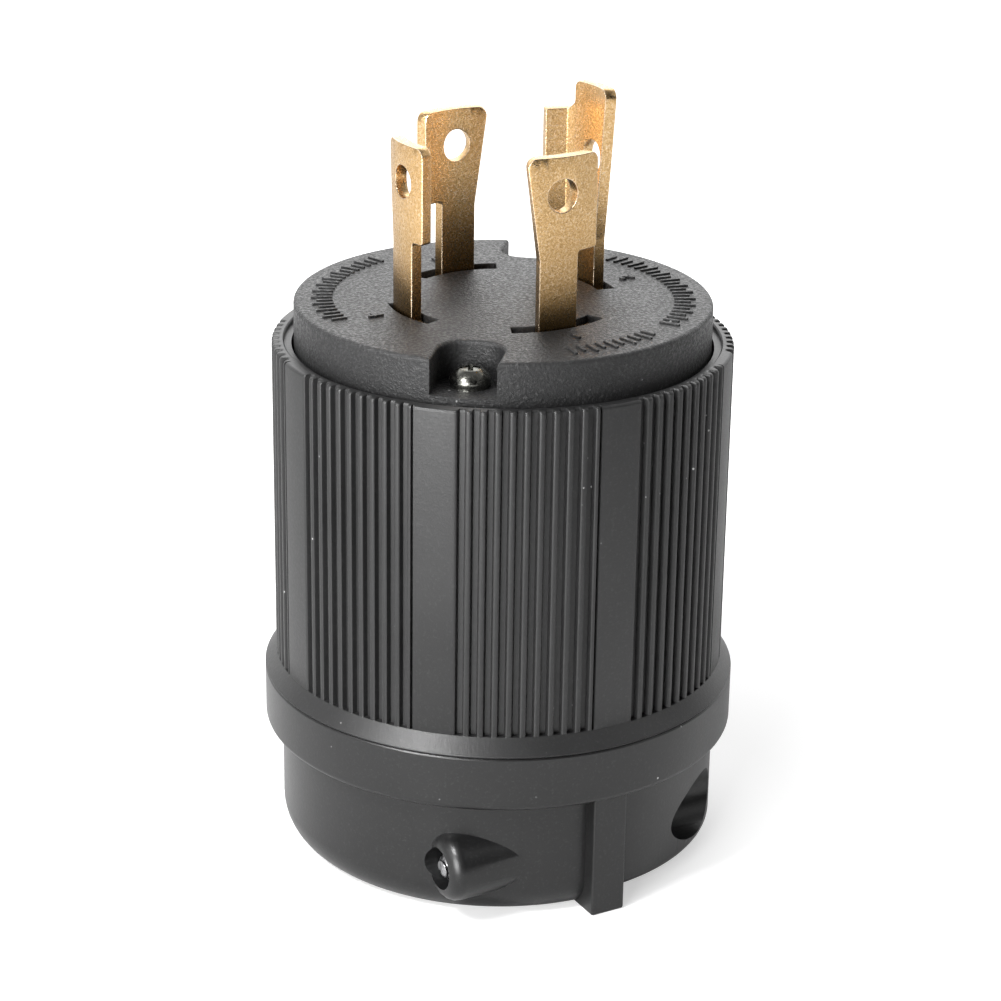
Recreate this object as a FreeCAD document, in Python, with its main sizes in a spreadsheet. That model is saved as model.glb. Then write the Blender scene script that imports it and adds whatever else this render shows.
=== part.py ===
"""Four blade twist-locking power plug, standing on its cord end with the blades up.

Millimetres and degrees. The origin is on the plug's axis at the bottom of the rear
housing, +Z runs up through the blades. Pieces are drawn with the clamp's parting
line along -Y, and every node is then turned about Z by parting_azimuth.
"""
import FreeCAD
import Part
import math
import os
import types
import Sketcher
from FreeCAD import Placement, Rotation, Vector

# Driving dimensions: name, value, what it is
SIZES = [
    ("parting_azimuth", 29.2, "where the clamp's parting line faces, from -Y towards +X"),
    ("overshoot", 1.0, "how far a cutting shape runs past the surface it cuts"),
    ("clear_angle", 5.0, "how far a cutting sector runs past the side it cuts"),
    # Rear housing
    ("dome_radius", 27.3, "lower housing below the collar"),
    ("dome_round", 3.6, "rounding of the lower housing's bottom edge"),
    ("collar_radius", 29.4, "collar of the rear housing"),
    ("collar_low", 15.3, "height of the collar's underside"),
    ("collar_round", 0.8, "rounding of the collar's lower edge"),
    ("parting_height", 22.2, "height of the joint between housing and sleeve"),
    ("seam_bevel", 0.25, "bevel either side of that joint"),
    ("chamber_floor", 18.0, "floor of the wiring chamber"),
    ("chamber_radius", 23.2, "inside of the housing's spigot"),
    ("spigot_radius", 25.5, "outside of the spigot that centres the sleeve"),
    ("spigot_height", 3.8, "how far the spigot stands above the joint"),
    ("fit_gap", 0.1, "radial clearance of pieces that slip together"),
    ("cord_radius", 13.0, "cord entry and clamp saddle"),
    # Clamp
    ("tab_low_side", 2.8, "parting rib, on the fixed side of the parting line"),
    ("tab_high_side", 1.7, "parting rib, on the jaw side of the parting line"),
    ("tab_reach", 29.1, "distance of the rib's outer face from the axis"),
    ("jaw_gap", 0.3, "gap around the movable jaw"),
    ("jaw_low", 1.8, "height of the jaw's underside"),
    ("jaw_round", 0.8, "rounding of the jaw's bottom edge"),
    ("clamp_offset", 21.1, "clamp screw axis from the plug's axis"),
    ("clamp_height", 6.9, "height of the clamp screw axes"),
    ("boss_radius", 4.25, "boss around the clamp screw's tip"),
    ("boss_face", 19.5, "distance of the boss's end face from the parting line"),
    ("boss_round", 1.8, "rounding of the boss's end"),
    ("clamp_screw_radius", 1.95, "clamp screw shank"),
    ("clamp_hole_radius", 2.35, "clearance hole of the clamp screw in the jaw"),
    ("boss_hole_radius", 2.6, "hole in the boss's end face"),
    ("clamp_head_radius", 3.5, "clamp screw head"),
    ("clamp_head_height", 2.6, "clamp screw head"),
    ("clamp_seat", 8.5, "bearing of the clamp screw's head, from the parting line"),
    ("clamp_recess_radius", 4.0, "counterbore around the clamp screw's head"),
    ("clamp_tip", 19.2, "tip of the clamp screw, from the parting line"),
    ("clamp_nut_radius", 3.2, "threaded insert of the clamp"),
    ("clamp_nut_length", 7.7, "threaded insert of the clamp"),
    ("thread_gap", 0.05, "radial clearance between a screw and its thread"),
    # Sleeve
    ("sleeve_radius", 28.0, "grip sleeve over its ribs"),
    ("flare_top", 24.4, "top of the cone between collar and ribs"),
    ("flare_bottom", 22.9, "top of the sleeve's straight foot"),
    ("sleeve_rim", 64.8, "height of the sleeve's rim"),
    ("rim_inner_radius", 26.5, "inner edge of the rim"),
    ("rim_step", 0.6, "step inside the rim"),
    ("rim_round", 0.35, "rounding of the rim's outer edge"),
    ("sleeve_bore", 25.6, "bore around the face insert"),
    ("ledge_height", 54.0, "ledge that carries the face insert"),
    ("sleeve_inner", 24.0, "inside of the sleeve below the ledge"),
    ("register_gap", 0.4, "space above the spigot"),
    ("panel_count", 8, "rib panels around the sleeve"),
    ("groove_count", 10, "wide grooves in one panel"),
    ("groove_first", 6.5, "first groove from the middle of the smooth band"),
    ("groove_pitch", 3.43, "angle from groove to groove"),
    ("groove_depth", 0.7, "depth of a groove"),
    ("groove_mouth", 1.9, "angle that a groove takes at the surface"),
    ("groove_floor", 1.2, "angle that a groove takes at its floor"),
    ("line_groove_angle", 39.6, "thin groove before the next smooth band"),
    ("line_groove_width", 0.45, "angle that the thin groove takes"),
    # Face insert
    ("face_height", 69.7, "height of the plug's face"),
    ("face_radius", 25.3, "face insert"),
    ("face_round", 0.55, "rounding of the face's edge"),
    ("notch_turn", 320.6, "screw notch, from the parting line"),
    ("notch_width", 7.8, "screw notch"),
    ("notch_inner", 17.6, "inner end of the screw notch, from the axis"),
    ("notch_depth", 4.35, "floor of the screw notch below the face"),
    ("notch_round", 3.0, "rounding of the notch's inner corners"),
    ("slot_gap", 0.35, "slot wider than the blade on each face"),
    ("slot_end_angle", 1.8, "slot longer than the blade's shoulder at each end, as an angle"),
    # Assembly screws
    ("screw_circle", 20.6, "assembly screws from the axis"),
    ("screw_radius", 1.5, "assembly screw shank"),
    ("screw_hole_radius", 1.8, "clearance hole of the assembly screw"),
    ("screw_head_radius", 2.45, "assembly screw head"),
    ("screw_head_height", 2.3, "assembly screw head"),
    ("screw_head_round", 1.1, "rounding of the assembly screw head"),
    ("screw_tip", 22.0, "height of the assembly screw's tip"),
    ("post_radius", 3.0, "screw posts of the rear housing"),
    ("post_top", 36.0, "height of the screw posts"),
    # Blades
    ("blade_outer", 13.8, "outer face of the blades, from the axis"),
    ("blade_thickness", 1.5, "sheet of the blades"),
    ("shoulder_height", 69.0, "top of the blades' wide shoulders"),
    ("notch_height", 78.7, "locking edge of the blades"),
    ("tip_height", 90.2, "tips of three blades"),
    ("ground_tip_height", 94.3, "tip of the ground blade"),
    ("neck_low", 348.2, "slanting side of the neck, from the blade's middle"),
    ("ground_neck_low", 351.8, "the same side of the ground blade's neck"),
    ("neck_high", 9.4, "notched side of the neck, from the blade's middle"),
    ("slant_start", 78.0, "height where the slanting side begins"),
    ("slant_run", 1.75, "how far the slanting side leans out at the tip"),
    ("ground_slant_run", 0.9, "how far the ground blade's side leans out at its tip"),
    ("corner_round", 1.2, "rounding of the blade tips"),
    ("head_hole_radius", 1.95, "hole in the blade's head"),
    ("head_hole_height", 85.6, "height of that hole"),
    ("ground_hole_turn", 2.3, "hole in the ground blade, from the blade's middle"),
    ("tail_half_angle", 15.0, "blade tail below the insert, half its angle"),
    ("tail_drop", 4.5, "blade tail below its terminal screw's axis"),
    ("ground_leg_bend", 50.0, "how far the ground blade's leg is bent inwards"),
    ("ground_leg_length", 2.7, "ground blade's leg past its bend, on the inner face"),
    ("ground_leg_top", 90.7, "height of the ground blade's bent leg"),
    # Terminals
    ("terminal_drop", 4.0, "terminal screw's axis below the retainer plate"),
    ("terminal_screw_radius", 1.75, "terminal screw shank"),
    ("terminal_head_radius", 2.9, "terminal screw head"),
    ("terminal_head_height", 1.8, "terminal screw head"),
    ("terminal_screw_reach", 4.6, "terminal screw below its plate"),
    ("plate_width", 7.0, "wire clamp plate"),
    ("plate_thickness", 1.2, "wire clamp plate"),
    ("plate_length", 7.0, "wire clamp plate, along the plug"),
    # Blade retainer
    ("retainer_radius", 23.0, "retainer plate under the insert"),
    ("retainer_thickness", 3.5, "retainer plate"),
    ("barrier_drop", 9.5, "barriers between terminals, below the retainer plate"),
    ("barrier_thickness", 2.0, "barriers between terminals"),
    ("barrier_reach", 17.5, "barriers, from the axis"),
    ("hub_radius", 5.0, "hub in the middle of the barriers"),
    ("retainer_screw_radius", 1.5, "retainer screw"),
    ("retainer_head_radius", 2.6, "retainer screw head"),
    ("retainer_head_height", 1.8, "retainer screw head"),
    ("retainer_recess_radius", 2.9, "recess around the retainer screw's head"),
    ("retainer_seat_drop", 3.5, "seat of the retainer screw's head below the plate"),
    ("retainer_screw_bite", 8.0, "retainer screw's reach into the face insert"),
]

# Blades: node, quarter turns from the parting line, head's low and high side, slot's
# low and high side as angles from the blade's middle
BLADES = [
    ("blade_line_one", 0, 20.0, 22.0, 25.0, 27.0),
    ("blade_ground", 1, 20.0, 18.7, 11.7, 25.4),
    ("blade_neutral", 2, 20.0, 22.5, 25.0, 24.0),
    ("blade_line_two", 3, 20.0, 17.2, 15.5, 22.0),
]


class Size:
    """A number and the sheet expression that gives it."""

    def __init__(self, value, text):
        self.value = value
        self.text = text

    def joined(self, other, sign, value):
        return Size(value, "(%s %s %s)" % (self.text, sign, other.text))

    def __add__(self, other):
        other = as_size(other)
        return self.joined(other, "+", self.value + other.value)

    def __radd__(self, other):
        return as_size(other) + self

    def __sub__(self, other):
        other = as_size(other)
        return self.joined(other, "-", self.value - other.value)

    def __rsub__(self, other):
        return as_size(other) - self

    def __mul__(self, other):
        other = as_size(other)
        return self.joined(other, "*", self.value * other.value)

    def __rmul__(self, other):
        return as_size(other) * self

    def __truediv__(self, other):
        other = as_size(other)
        return self.joined(other, "/", self.value / other.value)

    def __neg__(self):
        return as_size(0) - self


# Tolerance when an edge is picked by its place, and the longest corner edge picked at
# a blade's tip, in blade thicknesses
TOUCH = 0.01
LONGEST_CORNER = 1.5
# A slice starts at +X, and is turned this far to start at -Y
START_OF_SLICE = 270
QUARTER = 90
HALF_TURN = 180


def as_size(number):
    if isinstance(number, Size):
        return number
    return Size(number, repr(number))


def sine(angle):
    return Size(math.sin(math.radians(angle.value)), "sin(%s)" % angle.text)


def cosine(angle):
    return Size(math.cos(math.radians(angle.value)), "cos(%s)" % angle.text)


doc = FreeCAD.newDocument("LockingPlug")
sheet = doc.addObject("Spreadsheet::Sheet", "Sizes")
NODES = []


def fill_sheet():
    """Write the driving dimensions to the sheet and return them by name."""
    named = {}
    rows = SIZES[:]
    for node, quarter, head_low, head_high, slot_low, slot_high in BLADES:
        rows.append((node + "_head_low", head_low, "slanting side of the head"))
        rows.append((node + "_head_high", head_high, "notched side of the head"))
        rows.append((node + "_slot_low", slot_low, "slot on the slanting side"))
        rows.append((node + "_slot_high", slot_high, "slot on the notched side"))
    for row, (name, value, meaning) in enumerate(rows, start=1):
        sheet.set("A%d" % row, meaning)
        sheet.set("B%d" % row, str(value))
        sheet.setAlias("B%d" % row, name)
        named[name] = Size(value, "Sizes." + name)
    doc.recompute()
    return types.SimpleNamespace(**named)


s = fill_sheet()
s.notch_floor = s.face_height - s.notch_depth
s.retainer_low = s.ledge_height - s.retainer_thickness
s.barrier_low = s.retainer_low - s.barrier_drop
s.retainer_seat = s.retainer_low - s.retainer_seat_drop
s.terminal_height = s.retainer_low - s.terminal_drop
s.tail_low = s.terminal_height - s.tail_drop
s.blade_inner = s.blade_outer - s.blade_thickness
s.slot_inner = s.blade_inner - s.slot_gap
s.slot_outer = s.blade_outer + s.slot_gap


def bind(item, name, size):
    """Set a property and tie it to the sheet."""
    size = as_size(size)
    setattr(item, name, size.value)
    item.setExpression(name, size.text)


def place(item, x=0, y=0, z=0, turn=0, axis=(0, 0, 1)):
    """Place an object, with each part of its placement tied to the sheet."""
    x, y, z, turn = as_size(x), as_size(y), as_size(z), as_size(turn)
    turned = Rotation(Vector(*axis), turn.value)
    item.Placement = Placement(Vector(x.value, y.value, z.value), turned)
    item.setExpression("Placement.Base.x", x.text)
    item.setExpression("Placement.Base.y", y.text)
    item.setExpression("Placement.Base.z", z.text)
    if turn.value:
        item.setExpression("Placement.Rotation.Angle", turn.text)
    return item


def cylinder(name, radius, low, high, x=0, y=0):
    """An upright cylinder from low to high."""
    item = doc.addObject("Part::Cylinder", name)
    bind(item, "Radius", radius)
    bind(item, "Height", high - low)
    return place(item, x, y, low)


def sector(name, radius, low, high, low_side, high_side):
    """A slice of an upright cylinder about -Y, from low_side to high_side of it."""
    item = cylinder(name, radius, low, high)
    bind(item, "Angle", low_side + high_side)
    return place(item, z=low, turn=START_OF_SLICE - low_side)


def rod(name, radius, start, end, y, z):
    """A round bar along X from start to end."""
    item = doc.addObject("Part::Cylinder", name)
    bind(item, "Radius", radius)
    bind(item, "Height", end - start)
    return place(item, x=start, y=y, z=z, turn=90, axis=(0, 1, 0))


def radial_rod(name, radius, inner, outer, z):
    """A round bar along -Y, from inner to outer distance off the axis."""
    item = doc.addObject("Part::Cylinder", name)
    bind(item, "Radius", radius)
    bind(item, "Height", outer - inner)
    return place(item, y=-as_size(inner), z=z, turn=90, axis=(1, 0, 0))


def box(name, x, y, z):
    """A box between two values on each axis."""
    item = doc.addObject("Part::Box", name)
    bind(item, "Length", x[1] - as_size(x[0]))
    bind(item, "Width", y[1] - as_size(y[0]))
    bind(item, "Height", z[1] - as_size(z[0]))
    return place(item, x[0], y[0], z[0])


def fuse(name, *items):
    item = doc.addObject("Part::MultiFuse", name)
    item.Shapes = list(items)
    item.Refine = True
    return item


def cut(name, base, *tools):
    item = doc.addObject("Part::Cut", name)
    item.Base = base
    item.Tool = tools[0] if len(tools) == 1 else fuse(name + "_tools", *tools)
    item.Refine = True
    return item


def common(name, base, tool):
    item = doc.addObject("Part::Common", name)
    item.Base = base
    item.Tool = tool
    item.Refine = True
    return item


def node(item, label, turn=0):
    """Name a finished sub-part and turn it into the plug's frame."""
    item.Label = label
    place(item, turn=s.parting_azimuth + turn)
    NODES.append(item)
    return item


def turned_group(name, item, turn):
    """Turn an object that already has a placement about the plug's axis."""
    group = doc.addObject("Part::Compound", name)
    group.Links = [item]
    return place(group, turn=turn)


def screw_places():
    """Both assembly screws: name, turn from the parting line, and place."""
    for name, opposite in (("front", 0), ("back", HALF_TURN)):
        turn = s.notch_turn - opposite
        yield name, turn, s.screw_circle * sine(turn), -s.screw_circle * cosine(turn)


def clamp_places():
    """Both clamp screws: name, side of the plug's axis, and distance along Y."""
    for name, side in (("front", -1), ("back", 1)):
        yield name, side, s.clamp_offset * side


def blade_size(blade, name):
    return getattr(s, blade + "_" + name)


def origin_plane(body, role):
    return [item for item in body.Origin.OriginFeatures if item.Role == role][0]


def polygon(body, name, corner_lists, role="XZ_Plane"):
    """A sketch of closed polygons whose corners are tied to the sheet."""
    sketch = body.newObject("Sketcher::SketchObject", name)
    sketch.AttachmentSupport = [(origin_plane(body, role), "")]
    sketch.MapMode = "FlatFace"
    for corners in corner_lists:
        corners = [(as_size(across), as_size(up)) for across, up in corners]
        first = sketch.GeometryCount
        count = len(corners)
        points = [Vector(across.value, up.value, 0) for across, up in corners]
        for index, point in enumerate(points):
            sketch.addGeometry(Part.LineSegment(point, points[(index + 1) % count]), False)
        for index in range(count):
            following = first + (index + 1) % count
            sketch.addConstraint(Sketcher.Constraint("Coincident", first + index, 2, following, 1))
        for index, (across, up) in enumerate(corners):
            for kind, size in (("DistanceX", across), ("DistanceY", up)):
                row = sketch.addConstraint(
                    Sketcher.Constraint(kind, -1, 1, first + index, 1, size.value))
                sketch.setExpression("Constraints[%d]" % row, size.text)
    return sketch


def revolved(name, corners):
    """A body turned about the plug's axis from a closed outline of radius and height."""
    body = doc.addObject("PartDesign::Body", name)
    sketch = polygon(body, name + "_outline", [corners])
    turned = body.newObject("PartDesign::Revolution", name + "_turned")
    turned.Profile = (sketch, [""])
    turned.ReferenceAxis = (sketch, ["V_Axis"])
    turned.Angle = 360
    doc.recompute()
    return body


def round_rims(body, name, radius, rims):
    """Round circular edges of a body, each given by its radius and height."""
    base = body.Tip
    edges = []
    for index, edge in enumerate(base.Shape.Edges, start=1):
        if not isinstance(edge.Curve, Part.Circle):
            continue
        for rim_radius, height in rims:
            off = abs(edge.Curve.Radius - rim_radius.value) + abs(edge.Curve.Center.z - height.value)
            if off < 0.001:
                edges.append("Edge%d" % index)
    rounding = body.newObject("PartDesign::Fillet", name)
    rounding.Base = (base, edges)
    bind(rounding, "Radius", radius)
    doc.recompute()
    return rounding


def round_edges(name, item, radius, wanted):
    """Round the edges of an object that the test wanted picks."""
    doc.recompute()
    rounding = doc.addObject("Part::Fillet", name)
    rounding.Base = item
    picked = [n for n, edge in enumerate(item.Shape.Edges, start=1) if wanted(edge)]
    rounding.Edges = [(n, radius.value, radius.value) for n in picked]
    return rounding


def annular_sector(name, inner, outer, low, high, low_side, high_side):
    """A curved plate about -Y, from low_side to high_side of it."""
    base = sector(name + "_outer", outer, low, high, low_side, high_side)
    bore = cylinder(name + "_bore", inner, low - s.overshoot, high + s.overshoot)
    return cut(name, base, bore)


def make_rear_housing():
    """Collar, fixed half of the cord clamp, parting ribs, bosses and screw posts."""
    body = revolved("housing_shell", [
        (s.cord_radius, 0),
        (s.dome_radius, 0),
        (s.dome_radius, s.collar_low),
        (s.collar_radius, s.collar_low),
        (s.collar_radius, s.parting_height - s.seam_bevel),
        (s.collar_radius - s.seam_bevel, s.parting_height),
        (s.spigot_radius, s.parting_height),
        (s.spigot_radius, s.parting_height + s.spigot_height),
        (s.chamber_radius, s.parting_height + s.spigot_height),
        (s.chamber_radius, s.chamber_floor),
        (s.cord_radius, s.chamber_floor),
    ])
    round_rims(body, "housing_bottom_round", s.dome_round, [(s.dome_radius, as_size(0))])
    round_rims(body, "housing_collar_round", s.collar_round, [(s.collar_radius, s.collar_low)])
    solids = [body]
    voids = []
    far = s.collar_radius + s.overshoot
    for name, side, across in clamp_places():
        ends = sorted((s.tab_reach * side, (s.cord_radius + s.overshoot) * side),
                      key=lambda size: size.value)
        solids.append(box("parting_rib_" + name, (-s.tab_low_side, s.tab_high_side), ends,
                          (as_size(0), s.collar_low + s.overshoot)))
        boss = rod("boss_bar_" + name, s.boss_radius, -s.boss_face, s.tab_high_side,
                   across, s.clamp_height)
        solids.append(round_edges(
            "boss_" + name, boss, s.boss_round,
            lambda edge: edge.Closed and edge.BoundBox.XMax < -s.boss_face.value + TOUCH))
        voids.append(rod("clamp_hole_" + name, s.boss_hole_radius, -far, far,
                         across, s.clamp_height))
        voids.append(rod("nut_pocket_" + name, s.clamp_nut_radius,
                         s.tab_high_side - s.clamp_nut_length, far, across, s.clamp_height))
    for name, turn, x, y in screw_places():
        solids.append(cylinder("post_" + name, s.post_radius, s.chamber_floor - s.overshoot,
                               s.post_top, x, y))
        voids.append(cylinder("pilot_" + name, s.screw_radius + s.thread_gap,
                              s.screw_tip - s.overshoot, s.post_top + s.overshoot, x, y))
    voids.append(box("jaw_room", (s.tab_high_side, far), (-far, far),
                     (-s.overshoot, s.collar_low)))
    voids.append(cylinder("cord_way", s.cord_radius, -s.overshoot, s.chamber_floor + s.overshoot))
    return node(cut("housing", fuse("housing_solids", *solids), *voids), "rear_housing")


def make_clamp_jaw():
    """Movable half of the cord clamp, with counterbores for the screw heads."""
    top = s.collar_low - s.jaw_gap
    body = revolved("jaw_ring", [
        (s.cord_radius, s.jaw_low),
        (s.dome_radius, s.jaw_low),
        (s.dome_radius, top),
        (s.cord_radius, top),
    ])
    round_rims(body, "jaw_bottom_round", s.jaw_round, [(s.dome_radius, s.jaw_low)])
    far = s.collar_radius + s.overshoot
    half = common("jaw_half", body, box(
        "jaw_side", (s.tab_high_side + s.jaw_gap, far), (-far, far), (as_size(0), top)))
    voids = []
    for name, side, across in clamp_places():
        voids.append(rod("jaw_hole_" + name, s.clamp_hole_radius, as_size(0), far,
                         across, s.clamp_height))
        voids.append(rod("jaw_recess_" + name, s.clamp_recess_radius, s.clamp_seat, far,
                         across, s.clamp_height))
    return node(cut("jaw", half, *voids), "clamp_jaw")


def make_clamp_screws():
    """Screws that draw the jaw in, and the threaded inserts that they turn in."""
    for name, side, across in clamp_places():
        shank = rod("clamp_shank_" + name, s.clamp_screw_radius, -s.clamp_tip, s.clamp_seat,
                    across, s.clamp_height)
        head = rod("clamp_head_" + name, s.clamp_head_radius, s.clamp_seat,
                   s.clamp_seat + s.clamp_head_height, across, s.clamp_height)
        node(fuse("clamp_screw_" + name, shank, head), "clamp_screw_" + name)
        blank = rod("nut_blank_" + name, s.clamp_nut_radius,
                    s.tab_high_side - s.clamp_nut_length, s.tab_high_side,
                    across, s.clamp_height)
        thread = rod("nut_thread_" + name, s.clamp_screw_radius + s.thread_gap,
                     s.tab_high_side - s.clamp_nut_length - s.overshoot,
                     s.tab_high_side + s.overshoot, across, s.clamp_height)
        node(cut("clamp_nut_" + name, blank, thread), "clamp_nut_" + name)


def groove_corners(middle, mouth, floor):
    """Corners of one groove across the sleeve's wall."""
    outer = s.sleeve_radius + s.overshoot
    inner = s.sleeve_radius - s.groove_depth
    corners = []
    for radius, angle in ((outer, middle - mouth / 2), (outer, middle + mouth / 2),
                          (inner, middle + floor / 2), (inner, middle - floor / 2)):
        corners.append((radius * sine(angle), -(radius * cosine(angle))))
    return corners


def make_grip_sleeve():
    """Outer sleeve: smooth bands, panels of ribs, flared foot and stepped rim."""
    register_top = s.parting_height + s.spigot_height + s.register_gap
    register_radius = s.spigot_radius + s.fit_gap
    body = revolved("grip_sleeve", [
        (register_radius, s.parting_height),
        (s.collar_radius - s.seam_bevel, s.parting_height),
        (s.collar_radius, s.parting_height + s.seam_bevel),
        (s.collar_radius, s.flare_bottom),
        (s.sleeve_radius, s.flare_top),
        (s.sleeve_radius, s.sleeve_rim),
        (s.rim_inner_radius, s.sleeve_rim),
        (s.rim_inner_radius, s.sleeve_rim - s.rim_step),
        (s.sleeve_bore, s.sleeve_rim - s.rim_step),
        (s.sleeve_bore, s.ledge_height),
        (s.sleeve_inner, s.ledge_height),
        (s.sleeve_inner, register_top),
        (register_radius, register_top),
    ])
    round_rims(body, "sleeve_rim_round", s.rim_round, [(s.sleeve_radius, s.sleeve_rim)])
    grooves = [groove_corners(s.groove_first + s.groove_pitch * index,
                              s.groove_mouth, s.groove_floor)
               for index in range(int(s.groove_count.value))]
    grooves.append(groove_corners(s.line_groove_angle, s.line_groove_width,
                                  s.line_groove_width))
    sketch = polygon(body, "panel_grooves", grooves, "XY_Plane")
    sketch.AttachmentOffset = Placement(Vector(0, 0, s.flare_top.value), Rotation())
    sketch.setExpression("AttachmentOffset.Base.z", s.flare_top.text)
    panel = body.newObject("PartDesign::Pocket", "panel")
    panel.Profile = (sketch, [""])
    panel.Reversed = True
    bind(panel, "Length", s.sleeve_rim - s.flare_top + s.overshoot)
    doc.recompute()
    around = body.newObject("PartDesign::PolarPattern", "panels")
    around.Originals = [panel]
    around.Axis = (sketch, ["N_Axis"])
    around.Angle = 360
    bind(around, "Occurrences", s.panel_count)
    body.Tip = around
    return node(body, "grip_sleeve")


def make_face_insert():
    """Face disc with four curved slots, two screw notches and their screw holes."""
    body = revolved("insert_disc", [
        (as_size(0), s.ledge_height),
        (s.face_radius, s.ledge_height),
        (s.face_radius, s.face_height),
        (as_size(0), s.face_height),
    ])
    round_rims(body, "face_edge_round", s.face_round, [(s.face_radius, s.face_height)])
    above = s.face_height + s.overshoot
    below = s.ledge_height - s.overshoot
    voids = []
    for blade, quarter, head_low, head_high, slot_low, slot_high in BLADES:
        slot = annular_sector("slot_" + blade, s.slot_inner, s.slot_outer, below, above,
                              blade_size(blade, "slot_low"), blade_size(blade, "slot_high"))
        voids.append(place(slot, turn=QUARTER * quarter))
    voids.append(turned_group("leg_slot", bent_leg("leg_room", s.slot_gap, below, above),
                              QUARTER))
    half = s.notch_width / 2
    for name, turn, x, y in screw_places():
        block = box("notch_block_" + name, (-half, half),
                    (-(s.face_radius + s.overshoot), -s.notch_inner), (s.notch_floor, above))
        notch = round_edges(
            "notch_" + name, block, s.notch_round,
            lambda edge: (edge.BoundBox.ZLength > TOUCH
                          and abs(edge.BoundBox.YMax + s.notch_inner.value) < TOUCH))
        voids.append(place(notch, turn=turn))
        voids.append(cylinder("screw_hole_" + name, s.screw_hole_radius, below, above, x, y))
    voids.append(cylinder("retainer_pilot", s.retainer_screw_radius + s.thread_gap, below,
                          s.ledge_height + s.retainer_screw_bite + s.overshoot))
    return node(cut("insert", body, *voids), "face_insert")


def bent_leg(name, gap, low, high):
    """Leg of the ground blade, bent inwards about an upright line on the inner face.

    With a gap it is the room for that leg, wider by the gap on every face.
    """
    shoulder = blade_size("blade_ground", "slot_high") - s.slot_end_angle
    thickness = s.blade_thickness + gap
    bend = sector(name + "_bend", thickness, low, high, as_size(0), s.ground_leg_bend)
    plate = box(name + "_plate", (as_size(0), s.ground_leg_length + gap),
                (-thickness, gap), (low, high))
    leg = fuse(name, bend, turned_group(name + "_turned", plate, s.ground_leg_bend))
    return place(leg, s.blade_inner * sine(shoulder), -(s.blade_inner * cosine(shoulder)),
                 turn=shoulder)


def make_blade(blade, quarter):
    """One blade: head with a slanting and a notched side, neck, shoulder and tail."""
    ground = blade == "blade_ground"
    tip = s.ground_tip_height if ground else s.tip_height
    neck_low = s.ground_neck_low if ground else s.neck_low
    slant_run = s.ground_slant_run if ground else s.slant_run
    low_side, high_side = blade_size(blade, "head_low"), blade_size(blade, "head_high")
    head = annular_sector(blade + "_head", s.blade_inner, s.blade_outer, s.shoulder_height,
                          tip, low_side, high_side)
    slant = doc.addObject("PartDesign::Body", blade + "_slant")
    sketch = polygon(slant, blade + "_slant_outline", [[
        (0, s.shoulder_height - s.overshoot),
        (0, s.slant_start),
        (-slant_run, tip),
        (-slant_run, tip + s.overshoot),
        (-s.blade_outer, tip + s.overshoot),
        (-s.blade_outer, s.shoulder_height - s.overshoot),
    ]])
    pad = slant.newObject("PartDesign::Pad", blade + "_slant_pad")
    pad.Profile = (sketch, [""])
    bind(pad, "Length", s.blade_outer + s.overshoot)
    place(slant, turn=neck_low)
    tools = [slant]
    if not ground:
        tools.append(annular_sector(
            blade + "_catch", s.blade_inner - s.overshoot, s.blade_outer + s.overshoot,
            s.shoulder_height - s.overshoot, s.notch_height, -s.neck_high,
            high_side + s.clear_angle))
    eye = radial_rod(blade + "_eye", s.head_hole_radius, s.blade_inner - s.overshoot,
                     s.blade_outer + s.overshoot, s.head_hole_height)
    tools.append(turned_group(blade + "_turned_eye", eye, s.ground_hole_turn) if ground else eye)
    shaped = cut(blade + "_shaped", head, *tools)
    rounded = round_edges(
        blade + "_rounded", shaped, s.corner_round,
        lambda edge: (edge.BoundBox.ZMin > tip.value - TOUCH
                      and edge.Length < s.blade_thickness.value * LONGEST_CORNER))
    shoulder = annular_sector(
        blade + "_shoulder", s.blade_inner, s.blade_outer, s.ledge_height, s.shoulder_height,
        blade_size(blade, "slot_low") - s.slot_end_angle,
        blade_size(blade, "slot_high") - s.slot_end_angle)
    tail = annular_sector(blade + "_tail", s.blade_inner, s.blade_outer, s.tail_low,
                          s.ledge_height, s.tail_half_angle, s.tail_half_angle)
    hole = radial_rod(blade + "_tapping", s.terminal_screw_radius + s.thread_gap,
                      s.blade_inner - s.overshoot, s.blade_outer + s.overshoot,
                      s.terminal_height)
    solids = [rounded, shoulder, cut(blade + "_tapped_tail", tail, hole)]
    if ground:
        solids.append(annular_sector(
            "leg_root", s.blade_inner, s.blade_outer, s.shoulder_height, s.ground_leg_top,
            as_size(0), blade_size(blade, "slot_high") - s.slot_end_angle))
        solids.append(bent_leg("ground_leg", as_size(0), s.ledge_height, s.ground_leg_top))
    return node(fuse(blade, *solids), blade, QUARTER * quarter)


def make_terminal(blade, quarter):
    """Wire clamp plate and screw on the outside of a blade's tail."""
    name = blade.replace("blade_", "")
    plate_inner = s.blade_outer + s.thread_gap
    plate_outer = plate_inner + s.plate_thickness
    half = s.plate_width / 2
    half_length = s.plate_length / 2
    plate = box(name + "_plate_blank", (-half, half), (-plate_outer, -plate_inner),
                (s.terminal_height - half_length, s.terminal_height + half_length))
    hole = radial_rod(name + "_plate_hole", s.terminal_screw_radius + s.fit_gap,
                      s.blade_outer - s.overshoot, plate_outer + s.overshoot,
                      s.terminal_height)
    node(cut(name + "_plate", plate, hole), "clamp_plate_" + name, QUARTER * quarter)
    shank = radial_rod(name + "_shank", s.terminal_screw_radius,
                       plate_outer - s.terminal_screw_reach, plate_outer, s.terminal_height)
    head = radial_rod(name + "_head", s.terminal_head_radius, plate_outer,
                      plate_outer + s.terminal_head_height, s.terminal_height)
    node(fuse(name + "_screw", shank, head), "terminal_screw_" + name, QUARTER * quarter)


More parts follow.
